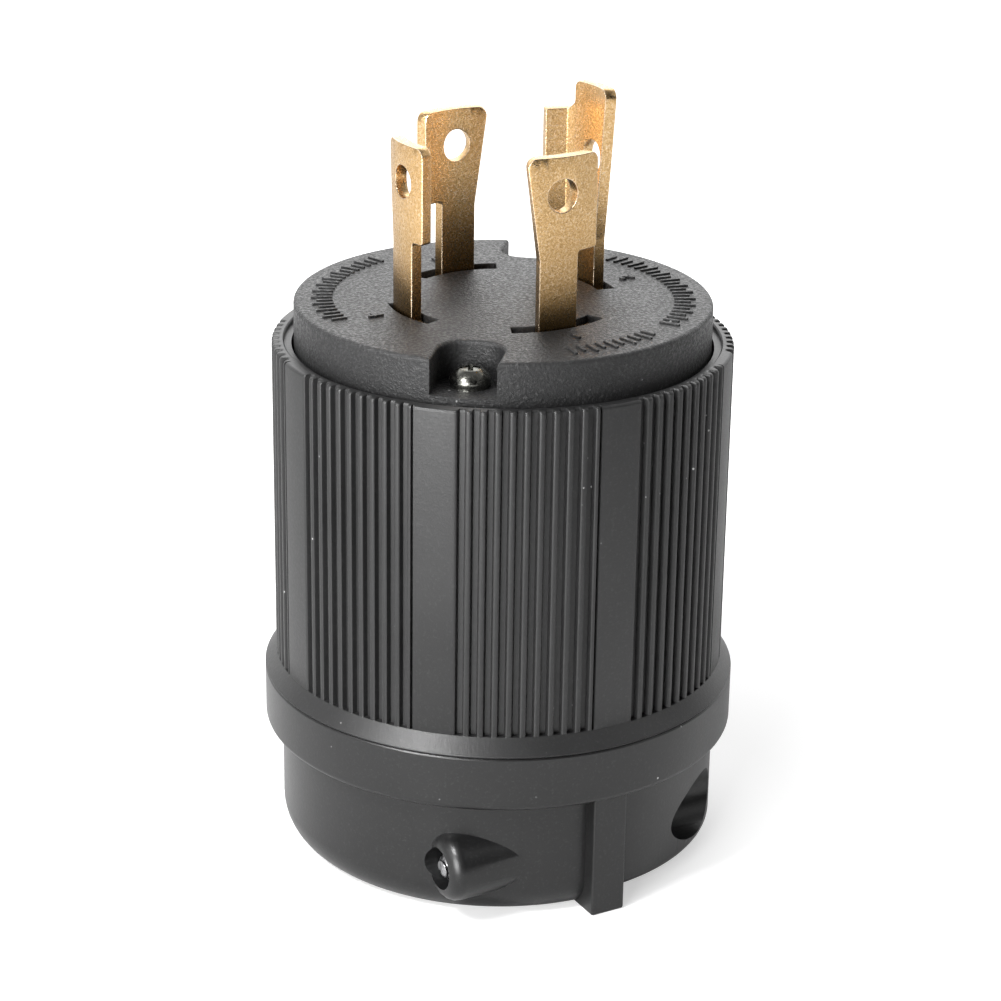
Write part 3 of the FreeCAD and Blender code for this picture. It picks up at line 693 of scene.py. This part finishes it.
def rear_housing():
    """Collar and fixed clamp half with parting ribs, bosses, posts and screw holes."""
    shell = lathe("housing", housing_section())
    carve(shell, block("jaw_room", (RIB_HIGH_SIDE, -CUT_REACH, -OVERLAP),
                       (CUT_REACH, CUT_REACH, COLLAR_LOW)))
    for side in SIDES.values():
        near, reach = sorted((side * RIB_START, side * RIB_REACH))
        rib = block("parting_rib", (-RIB_LOW_SIDE, near, 0), (RIB_HIGH_SIDE, reach, RIB_TOP),
                    RIB_EDGE_ROUND)
        boss = bar("boss", BOSS_RADIUS, -BOSS_FACE, RIB_HIGH_SIDE - BOSS_SINK, BOSS_ROUND,
                   steps=96)
        along_x(boss, side * CLAMP_OFFSET, CLAMP_HEIGHT)
        post = at_notch(bar("post", POST_RADIUS, CHAMBER_FLOOR - OVERLAP, POST_TOP), side)
        unite(shell, rib, boss, post)
    for side in SIDES.values():
        bore = along_x(clamp_bore(), side * CLAMP_OFFSET, CLAMP_HEIGHT)
        pilot = bar("pilot", SCREW_RADIUS + PILOT_GAP, SCREW_TIP - OVERLAP, POST_TOP + OVERLAP)
        carve(shell, bore, at_notch(pilot, side))
    dress(shell, "plug", HOUSING, ["rear_housing"])


def clamp_jaw():
    """Movable clamp half with deep counterbores for the screw heads."""
    top = COLLAR_LOW - JAW_TOP_GAP
    jaw = lathe("jaw", rounded([(CORD_RADIUS, JAW_LOW, JAW_MOUTH_ROUND),
                                (DOME_RADIUS, JAW_LOW, JAW_LOW_ROUND),
                                (DOME_RADIUS, top, JAW_TOP_ROUND),
                                (CORD_RADIUS, top, JAW_TOP_ROUND)]))
    carve(jaw, block("fixed_side", (-CUT_REACH, -CUT_REACH, -OVERLAP),
                     (RIB_HIGH_SIDE + JAW_GAP, CUT_REACH, COLLAR_LOW)))
    for side in SIDES.values():
        across = side * CLAMP_OFFSET
        hole = bar("hole", CLAMP_HOLE, 0, CUT_REACH, steps=64)
        recess = bar("recess", CLAMP_RECESS, CLAMP_SEAT, CUT_REACH, steps=96)
        carve(jaw, along_x(hole, across, CLAMP_HEIGHT), along_x(recess, across, CLAMP_HEIGHT))
    soften(jaw, JAW_EDGE_ROUND, angle=40, segments=2)
    dress(jaw, "jaw", HOUSING, ["clamp_jaw"])


# Screws


def cross_recess(name, size, depth, top):
    """Cutter for a cross-shaped drive recess that narrows downwards."""
    half_width, narrowing = size * 0.2, 0.45
    wings = []
    for turn in (0, 90):
        wing = block(name + "_wing", (-size, -half_width, top - depth), (size, half_width, top + 1))
        for vertex in wing.data.vertices:
            if vertex.co.z < top:
                vertex.co.x *= narrowing
        wings.append(turned(wing, turn))
    return unite(*wings)


def pan_head(name, radius, height):
    """A domed screw head with a cross recess, from 0 up to height."""
    seat_radius, rim_height, rim_round = radius * 0.96, height * 0.30, height * 0.42
    crown_radius, crown_reach, crown_steps = radius * 1.9, radius * 0.72, 6
    outline = [(0, 0), (seat_radius, 0)]
    outline += arc((radius - rim_round, rim_height), rim_round, -30, 55, 6)
    for step in range(1, crown_steps):
        out = crown_reach * (1 - step / crown_steps)
        outline.append((out, height - crown_radius + math.sqrt(crown_radius ** 2 - out ** 2)))
    outline.append((0, height))
    head = capped_bar(name, outline, steps=64)
    return carve(head, cross_recess(name + "_drive", radius * 0.62, height * 0.75, height))


def threaded_bar(name, radius, low, high, pitch):
    """A screw shank with a raised helical thread, its end bevelled."""
    thread_depth, end_depth, end_length = radius * 0.16, radius * 0.5, pitch * 1.6
    tip_radius, steps, levels_to_pitch = 0.001, 32, 8
    levels = int((high - low) / pitch * levels_to_pitch)
    rows = [circle(tip_radius, low, steps)]
    for level in range(levels + 1):
        height = low + (high - low) * level / levels
        end = min((height - low) / end_length, 1.0)
        ring = []
        for step in range(steps):
            turn = step / steps
            wave = abs(((height / pitch - turn) % 1.0) * 2 - 1)
            there = radius - (thread_depth * (1 - wave) + end_depth * (1 - end))
            angle = 2 * math.pi * turn
            ring.append((there * math.cos(angle), there * math.sin(angle), height))
        rows.append(ring)
    rows.append(circle(tip_radius, high, steps))
    return grid_object(name, rows, closed_rows=False)


def join(item, *others):
    """Put several meshes into one piece."""
    bm = bmesh.new()
    for part in (item, *others):
        bm.from_mesh(part.data)
    bm.to_mesh(item.data)
    bm.free()
    for other in others:
        bpy.data.objects.remove(other)
    return item


def clamp_screws():
    """The two screws that draw the jaw in."""
    for name, side in SIDES.items():
        head = pan_head("clamp_head_" + name, CLAMP_HEAD_RADIUS, CLAMP_HEAD_HEIGHT)
        moved(head, Matrix.Translation((0, 0, CLAMP_SEAT)))
        shank = threaded_bar("clamp_thread_" + name, CLAMP_THREAD_RADIUS, -CLAMP_TIP,
                             CLAMP_SEAT + HEAD_OVERLAP, CLAMP_THREAD_PITCH)
        screw = along_x(join(head, shank), side * CLAMP_OFFSET, CLAMP_HEIGHT)
        dress(screw, "jaw", ZINC, ["clamp_screw_" + name], angle=40)


def assembly_screws():
    """The two long screws that hold the face, the sleeve and the housing together."""
    drive_turns = {"front": 12, "back": 28}
    for name, side in SIDES.items():
        head = pan_head("assembly_head_" + name, SCREW_HEAD_RADIUS, SCREW_HEAD_HEIGHT)
        turned(head, drive_turns[name])
        moved(head, Matrix.Translation((0, 0, NOTCH_FLOOR)))
        shank = bar("assembly_shank_" + name, SCREW_RADIUS, SCREW_TIP, NOTCH_FLOOR + HEAD_OVERLAP)
        screw = at_notch(join(head, shank), side)
        dress(screw, "plug", SCREW, ["assembly_screw_" + name], angle=40)


# Face insert


def ring_outline(centre, radius, count):
    """Points of a full circle, first one not repeated."""
    return arc(centre, radius, 0, 360 - 360 / count, count - 1)


def sector(inner, outer, low_side, high_side, turn):
    """Outline of a curved slot about -Y, turned about the axis."""
    start, end = turn - 90 - low_side, turn - 90 + high_side
    return arc((0, 0), outer, start, end, 24) + arc((0, 0), inner, end, start, 24)


def spun(points, turn):
    """Flat points turned about the axis."""
    spin = Matrix.Rotation(math.radians(turn), 3, "Z")
    return [tuple((spin @ Vector((x, y, 0)))[:2]) for x, y in points]


def grown(points, distance):
    """A closed outline moved outwards by distance, corners kept sharp."""
    count = len(points)
    area = sum(points[i - 1][0] * points[i][1] - points[i][0] * points[i - 1][1]
               for i in range(count))
    side = 1 if area > 0 else -1
    sharpest = 0.4
    result = []
    for index in range(count):
        here = Vector(points[index])
        before = (here - Vector(points[index - 1])).normalized()
        after = (Vector(points[(index + 1) % count]) - here).normalized()
        first = Vector((before.y, -before.x)) * side
        second = Vector((after.y, -after.x)) * side
        middle = (first + second).normalized()
        result.append(tuple(here + middle * (distance / max(middle.dot(first), sharpest))))
    return result


def pierced(name, outer, holes, low, high):
    """A plate with holes. Each outline comes with the rounding of its upper edge."""
    bm = bmesh.new()
    tops, bottoms = [], []
    flat_margin = 0.06
    for way, (points, rounding) in [(-1, outer)] + [(1, hole) for hole in holes]:
        levels = [(low, 0.0), (high - rounding, 0.0)]
        for step in range(1, 5):
            angle = math.radians(90 * step / 4)
            levels.append((high - rounding * (1 - math.sin(angle)),
                           rounding * (1 - math.cos(angle))))
        levels.append((high, rounding + flat_margin))
        rings = [[bm.verts.new((x, y, height)) for x, y in grown(points, way * inset)]
                 for height, inset in levels]
        count = len(points)
        for lower, upper in zip(rings, rings[1:]):
            for index in range(count):
                following = (index + 1) % count
                bm.faces.new((lower[index], lower[following], upper[following], upper[index]))
        for ring, group in ((rings[-1], tops), (rings[0], bottoms)):
            for index in range(count):
                group.append(bm.edges.get((ring[index], ring[(index + 1) % count])))
    for group in (tops, bottoms):
        bmesh.ops.triangle_fill(bm, use_beauty=True, edges=group, normal=(0, 0, 1))
    bmesh.ops.recalc_face_normals(bm, faces=bm.faces)
    return mesh_object(name, bm)


def face_outline():
    """The face's round outline with its two screw notches."""
    half = NOTCH_WIDTH / 2
    edge = math.degrees(math.asin(half / FACE_RADIUS))
    mouth = math.sqrt(FACE_RADIUS ** 2 - half ** 2)
    notch = [(-half, -mouth)]
    notch += arc((-half + NOTCH_ROUND, -NOTCH_INNER - NOTCH_ROUND), NOTCH_ROUND, 180, 90, 8)
    notch += arc((half - NOTCH_ROUND, -NOTCH_INNER - NOTCH_ROUND), NOTCH_ROUND, 90, 0, 8)
    notch.append((half, -mouth))
    points = []
    for side in (1, -1):
        turn = notch_turn(side)
        start = turn - 90 + edge
        points += spun(notch, turn)
        points += arc((0, 0), FACE_RADIUS, start, start + 180 - 2 * edge, 110)[1:-1]
    return points


def slot_outline(name):
    """Outline of a blade's slot, with the ground blade's leg where it has one."""
    quarter, _, slot_low, slot_high = BLADES[name]
    inner = BLADE_OUTER - BLADE_THICKNESS - SLOT_GAP
    outer = BLADE_OUTER + SLOT_GAP
    if name != "blade_ground":
        return sector(inner, outer, slot_low, slot_high, 90 * quarter)
    crease = slot_high - SHOULDER_GAP
    wall = BLADE_THICKNESS + SLOT_GAP
    end = LEG_LENGTH + SLOT_GAP
    corner = spun([(0, -(inner + SLOT_GAP))], crease)[0]
    room = arc((0, 0), wall, -90, -90 + LEG_BEND, 5)
    room += spun([(end, -wall), (end, SLOT_GAP)], LEG_BEND)
    meeting = SLOT_GAP * math.tan(math.radians(LEG_BEND / 2)) / inner
    before_crease = crease - 1
    points = arc((0, 0), outer, -90 - slot_low, -90 + before_crease, 24)
    points += [(x + corner[0], y + corner[1]) for x, y in spun(room, crease)]
    points += arc((0, 0), inner, -90 + crease - math.degrees(meeting), -90 - slot_low, 18)
    return spun(points, 90 * quarter)


def numeral(text, azimuth):
    """A raised plain numeral on the face, at an azimuth."""
    curve = bpy.data.curves.new("numeral_" + text, "FONT")
    curve.body = text
    curve.size = NUMERAL_SIZE
    curve.align_x = "CENTER"
    curve.align_y = "CENTER"
    curve.extrude = MARK_HEIGHT
    curve.bevel_depth = NUMERAL_BEVEL
    item = bpy.data.objects.new("numeral_" + text, curve)
    bpy.context.scene.collection.objects.link(item)
    graph = bpy.context.evaluated_depsgraph_get()
    mesh = bpy.data.meshes.new_from_object(item.evaluated_get(graph))
    bpy.data.objects.remove(item)
    made = bpy.data.objects.new("numeral_" + text, mesh)
    bpy.context.scene.collection.objects.link(made)
    moved(made, Matrix.Translation((0, -NUMERAL_CIRCLE, FACE_HEIGHT)))
    return turned(made, azimuth)


def face_marks():
    """Plain raised numerals beside the slots and plain index ticks along the edge."""
    marks = [numeral(str(number + 1), 90 * number) for number in range(4)]
    for first, last in TICK_SPANS:
        count = round((last - first) / TICK_PITCH)
        for step in range(count + 1):
            outer = SHORT_TICK_OUTER if step % 2 else TICK_OUTER
            tick = block("tick", (-TICK_HALF, -outer, FACE_HEIGHT - TICK_SINK),
                         (TICK_HALF, -TICK_INNER, FACE_HEIGHT + MARK_HEIGHT), TICK_ROUND)
            marks.append(turned(tick, first + (last - first) * step / count))
    dress(join(*marks), "plug", FACE, [], angle=50)


def face_insert():
    """Face disc with rounded edges, curved slots and screw notches."""
    slots = [slot_outline(name) for name in BLADES]
    top = pierced("face", (face_outline(), FACE_ROUND), [(slot, SLOT_ROUND) for slot in slots],
                  NOTCH_FLOOR, FACE_HEIGHT)
    holes = list(slots)
    for side in SIDES.values():
        centre = spun([(0, -SCREW_CIRCLE)], notch_turn(side))[0]
        holes.append(ring_outline(centre, SCREW_HOLE, 24))
    foot = pierced("face_foot", (ring_outline((0, 0), FACE_RADIUS, 240), 0.0),
                   [(hole, 0.0) for hole in holes], LEDGE_HEIGHT, NOTCH_FLOOR)
    dress(join(top, foot), "plug", FACE, ["face_insert"])
    face_marks()


# Blades


def bend(point, depth, fold):
    """Wrap a flat blade: across becomes the angle, and past fold the leg turns inwards."""
    across, height = point
    middle = BLADE_OUTER - BLADE_THICKNESS / 2
    if fold is None or across <= fold:
        angle = math.radians(across)
        radius = middle + depth
        return (radius * math.sin(angle), -radius * math.cos(angle), height)
    past = (across - fold) / TO_ANGLE
    curl = LEG_BEND_INSIDE + BLADE_THICKNESS / 2
    turn = min(past / curl, math.radians(LEG_BEND))
    along = past - turn * curl
    spread = curl + depth
    x = spread * math.sin(turn) + along * math.cos(turn)
    y = curl - middle - spread * math.cos(turn) + along * math.sin(turn)
    spin = math.radians(fold)
    return (x * math.cos(spin) - y * math.sin(spin), x * math.sin(spin) + y * math.cos(spin), height)


def leg_angles(shoulder_high):
    """Where the ground blade's leg starts to bend and where it ends."""
    set_back = LEG_BEND_INSIDE * math.tan(math.radians(LEG_BEND / 2))
    fold = shoulder_high - math.degrees(set_back / (BLADE_OUTER - BLADE_THICKNESS))
    curl = math.radians(LEG_BEND) * (LEG_BEND_INSIDE + BLADE_THICKNESS / 2)
    return fold, fold + (curl + LEG_LENGTH - set_back) * TO_ANGLE


def blade_outline(ground, head_high, slot_low, slot_high):
    """Outline of a flat blade, and the angle where its leg folds or None."""
    shoulder_low, shoulder_high = slot_low - SHOULDER_GAP, slot_high - SHOULDER_GAP
    tip = GROUND_TIP_HEIGHT if ground else TIP_HEIGHT
    neck_low = GROUND_NECK_LOW if ground else NECK_LOW
    slant_start = GROUND_SLANT_START if ground else SLANT_START
    head_low = neck_low + (GROUND_SLANT_RUN if ground else SLANT_RUN) * TO_ANGLE
    corners = [(-TAIL_HALF, TAIL_LOW, 0), (TAIL_HALF, TAIL_LOW, 0), (TAIL_HALF, LEDGE_HEIGHT, 0)]
    if ground:
        fold, leg_end = leg_angles(shoulder_high)
        corners += [(leg_end, LEDGE_HEIGHT, 0), (leg_end, LEG_TOP, LEG_ROUND),
                    (fold, LEG_TOP, LEG_ROUND), (head_high, LEG_TOP + LEG_STEP, LEG_STEP_ROUND),
                    (head_high, tip, GROUND_CORNER_ROUND)]
    else:
        fold = None
        corners += [(shoulder_high, LEDGE_HEIGHT, 0), (shoulder_high, SHOULDER_HEIGHT, 0),
                    (NECK_HIGH, SHOULDER_HEIGHT, 0), (NECK_HIGH, LOCK_HEIGHT, LOCK_ROUND),
                    (head_high, LOCK_HEIGHT, LOCK_ROUND), (head_high, tip, CORNER_ROUND)]
    corners += [(-head_low, tip, CORNER_ROUND), (-neck_low, slant_start, NECK_ROUND),
                (-neck_low, SHOULDER_HEIGHT, 0), (-shoulder_low, SHOULDER_HEIGHT, 0),
                (-shoulder_low, LEDGE_HEIGHT, 0), (-TAIL_HALF, LEDGE_HEIGHT, 0)]
    return rounded([(angle / TO_ANGLE, height, radius) for angle, height, radius in corners]), fold


def mark_edges(bm):
    """Mark the rounded edges of a flat blade, where its brass paints a pale highlight."""
    tolerance = 0.005
    edge = bm.verts.layers.float.new("edge")
    flat_face = BLADE_THICKNESS / 2 - tolerance
    cut_face = min(abs(vertex.co.z) for vertex in bm.verts) + tolerance
    for vertex in bm.verts:
        vertex[edge] = float(cut_face < abs(vertex.co.z) < flat_face)


def curve_sheet(sheet, fold):
    """Cut a flat blade into narrow strips and wrap it to its curve."""
    strip = 0.3
    bm = bmesh.new()
    bm.from_mesh(sheet.data)
    mark_edges(bm)
    low = min(vertex.co.x for vertex in bm.verts)
    high = max(vertex.co.x for vertex in bm.verts)
    steps = int((high - low) / strip)
    for step in range(1, steps):
        geometry = bm.verts[:] + bm.edges[:] + bm.faces[:]
        bmesh.ops.bisect_plane(bm, geom=geometry, plane_no=(1, 0, 0),
                               plane_co=(low + (high - low) * step / steps, 0, 0))
    for vertex in bm.verts:
        vertex.co = Vector(bend((vertex.co.x * TO_ANGLE, vertex.co.y), vertex.co.z, fold))
    bmesh.ops.recalc_face_normals(bm, faces=bm.faces)
    bm.to_mesh(sheet.data)
    bm.free()


def blade(name, quarter, head_high, slot_low, slot_high):
    """A stamped blade: flat outline with an eye, rounded edges, then curved."""
    ground = name == "blade_ground"
    outline, fold = blade_outline(ground, head_high, slot_low, slot_high)
    sheet = prism(name, outline, -BLADE_THICKNESS / 2, BLADE_THICKNESS / 2)
    eye_across = GROUND_EYE_TURN / TO_ANGLE if ground else 0
    eye = bar("eye", EYE_RADIUS, -BLADE_CUT, BLADE_CUT, steps=40)
    moved(eye, Matrix.Translation((eye_across, EYE_HEIGHT, 0)))
    tapping = bar("tapping", TERMINAL_HOLE, -BLADE_CUT, BLADE_CUT, steps=32)
    moved(tapping, Matrix.Translation((0, TERMINAL_HEIGHT, 0)))
    carve(sheet, eye, tapping)
    soften(sheet, EDGE_ROUND, angle=40, segments=2, clamp=False)
    curve_sheet(sheet, fold)
    dress(sheet, "plug", BLADE, [name], turn=PARTING_AZIMUTH + 90 * quarter, angle=40)


def plain_nodes():
    """Give the hidden pieces that keep their solids a material of their own."""
    looks = (("blade_retainer", INNER), ("clamp_plate", TERMINAL), ("clamp_nut", TERMINAL),
             ("terminal_screw_ground", GREEN), ("terminal_screw", ZINC), ("retainer_screw", ZINC))
    for name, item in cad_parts.items():
        for start, material in looks:
            if name.startswith(start):
                item.data.materials.clear()
                item.data.materials.append(material)
                break


# Stage, lights and camera


def floor_material():
    """Pale floor that the camera also sees glow, more so away from the plug.

    Light that bounces from it to the plug comes from the plain floor, and the plug mirrors
    only a small share of the glow.
    """
    dim_near, bright_far = 0.5, 0.9
    fade_start, fade_end = 0.04, 0.12
    mirrored_share = 0.1
    n = Nodes("pale floor")
    n.shader.inputs["Base Color"].default_value = (0.7, 0.7, 0.7, 1)
    n.shader.inputs["Roughness"].default_value = 0.9
    n.shader.inputs["Specular IOR Level"].default_value = 0.1
    glow = n.add("ShaderNodeEmission")
    glow.inputs["Color"].default_value = (1, 1, 1, 1)
    reach = n.add("ShaderNodeVectorMath", operation="LENGTH")
    n.link(n.coordinates(), reach.inputs[0])
    fade = n.add("ShaderNodeMapRange", from_min=fade_start, from_max=fade_end, to_min=dim_near,
                 to_max=bright_far)
    n.link(reach.outputs["Value"], fade.inputs["Value"])
    n.link(fade.outputs["Result"], glow.inputs["Strength"])
    path = n.add("ShaderNodeLightPath")
    mirrored = n.add("ShaderNodeMath", operation="MULTIPLY")
    n.link(path.outputs["Is Glossy Ray"], mirrored.inputs[0])
    mirrored.inputs[1].default_value = mirrored_share
    seen = n.add("ShaderNodeMath", operation="MAXIMUM")
    n.link(path.outputs["Is Camera Ray"], seen.inputs[0])
    n.link(mirrored.outputs[0], seen.inputs[1])
    dimmer = n.add("ShaderNodeBsdfDiffuse")
    dimmer.inputs["Color"].default_value = (0.66, 0.66, 0.66, 1)
    total = n.add("ShaderNodeAddShader")
    pick = n.add("ShaderNodeMixShader")
    n.link(dimmer.outputs[0], total.inputs[0])
    n.link(glow.outputs[0], total.inputs[1])
    n.link(seen.outputs[0], pick.inputs[0])
    n.link(n.shader.outputs[0], pick.inputs[1])
    n.link(total.outputs[0], pick.inputs[2])
    n.link(pick.outputs[0], n.tree.nodes["Material Output"].inputs["Surface"])
    return n.material


def stage():
    """The floor that the plug stands on."""
    half = 3.0
    mesh = bpy.data.meshes.new("floor")
    mesh.from_pydata([(-half, -half, 0), (half, -half, 0), (half, half, 0), (-half, half, 0)],
                     [], [(0, 1, 2, 3)])
    floor = bpy.data.objects.new("floor", mesh)
    bpy.context.scene.collection.objects.link(floor)
    mesh.materials.append(floor_material())


def lamp(name, azimuth, elevation, size, power):
    """A square soft box that faces the plug. Azimuth 0 is in front, -90 on the left."""
    aim, distance = Vector((0, 0, 0.045)), 0.8
    data = bpy.data.lights.new(name, "AREA")
    data.shape = "SQUARE"
    data.size = size
    data.energy = power
    item = bpy.data.objects.new(name, data)
    bpy.context.scene.collection.objects.link(item)
    across, up = math.radians(azimuth), math.radians(elevation)
    way = Vector((math.sin(across) * math.cos(up), -math.cos(across) * math.cos(up),
                  math.sin(up)))
    item.location = aim + way * distance
    item.rotation_mode = "QUATERNION"
    item.rotation_quaternion = (-way).to_track_quat("-Z", "Y")


def studio_world():
    """White to the camera. As a light it is dark in front and brightens behind the plug."""
    # Each rise is from a place along Y to a strength that it reaches at rise_end
    rises, rise_end = ((-0.6, 0.5), (0.3, 1.2)), 0.6
    world = bpy.data.worlds.new("studio")
    bpy.context.scene.world = world
    world.use_nodes = True
    tree = world.node_tree
    soft = tree.nodes["Background"]
    soft.inputs["Color"].default_value = (1, 1, 1, 1)
    place = tree.nodes.new("ShaderNodeTexCoord")
    axes = tree.nodes.new("ShaderNodeSeparateXYZ")
    total = tree.nodes.new("ShaderNodeMath")
    total.operation = "ADD"
    tree.links.new(place.outputs["Generated"], axes.inputs[0])
    for index, (start, strength) in enumerate(rises):
        rise = tree.nodes.new("ShaderNodeMapRange")
        rise.inputs["From Min"].default_value = start
        rise.inputs["From Max"].default_value = rise_end
        rise.inputs["To Max"].default_value = strength
        tree.links.new(axes.outputs["Y"], rise.inputs["Value"])
        tree.links.new(rise.outputs["Result"], total.inputs[index])
    tree.links.new(total.outputs[0], soft.inputs["Strength"])
    white = tree.nodes.new("ShaderNodeBackground")
    white.inputs["Color"].default_value = (1, 1, 1, 1)
    white.inputs["Strength"].default_value = 1.0
    path = tree.nodes.new("ShaderNodeLightPath")
    pick = tree.nodes.new("ShaderNodeMixShader")
    tree.links.new(path.outputs["Is Camera Ray"], pick.inputs[0])
    tree.links.new(soft.outputs[0], pick.inputs[1])
    tree.links.new(white.outputs[0], pick.inputs[2])
    tree.links.new(pick.outputs[0], tree.nodes["World Output"].inputs["Surface"])


def lights():
    """The studio's soft boxes, each with azimuth, elevation, size in metres and power in watts."""
    lamp("key", -49, 50, 0.19, 6.4)
    lamp("left fill", -30, 12, 0.4, 8.0)
    lamp("left side", -72, 18, 0.4, 0.9)
    lamp("left top", -40, 35, 0.4, 0.7)
    lamp("right side", 80, 35, 0.4, 0.4)
    lamp("back", 180, 30, 0.6, 1.2)


def camera():
    """The photo's camera, fitted to the plug's round edges."""
    focal_pixels = 2801.4
    frame_pixels = 1001
    elevation = math.radians(21.34)
    roll = math.radians(0.84)
    back, height = 323.65, 169.77
    data = bpy.data.cameras.new("photo camera")
    data.sensor_width = 36
    data.lens = focal_pixels / frame_pixels * data.sensor_width
    item = bpy.data.objects.new("photo camera", data)
    bpy.context.scene.collection.objects.link(item)
    forward = Vector((0, math.cos(elevation), -math.sin(elevation)))
    level = Vector((1, 0, 0))
    upright = level.cross(forward)
    right = level * math.cos(roll) + upright * math.sin(roll)
    up = upright * math.cos(roll) - level * math.sin(roll)
    turn = Matrix((right, up, -forward)).transposed().to_4x4()
    item.matrix_world = Matrix.Translation((0, -back * MM, height * MM)) @ turn
    bpy.context.scene.camera = item


bpy.context.scene.view_settings.view_transform = "Standard"
stage()
studio_world()
lights()
camera()
grip_sleeve()
rear_housing()
clamp_jaw()
clamp_screws()
assembly_screws()
face_insert()
for blade_name, facts in BLADES.items():
    blade(blade_name, *facts)
plain_nodes()
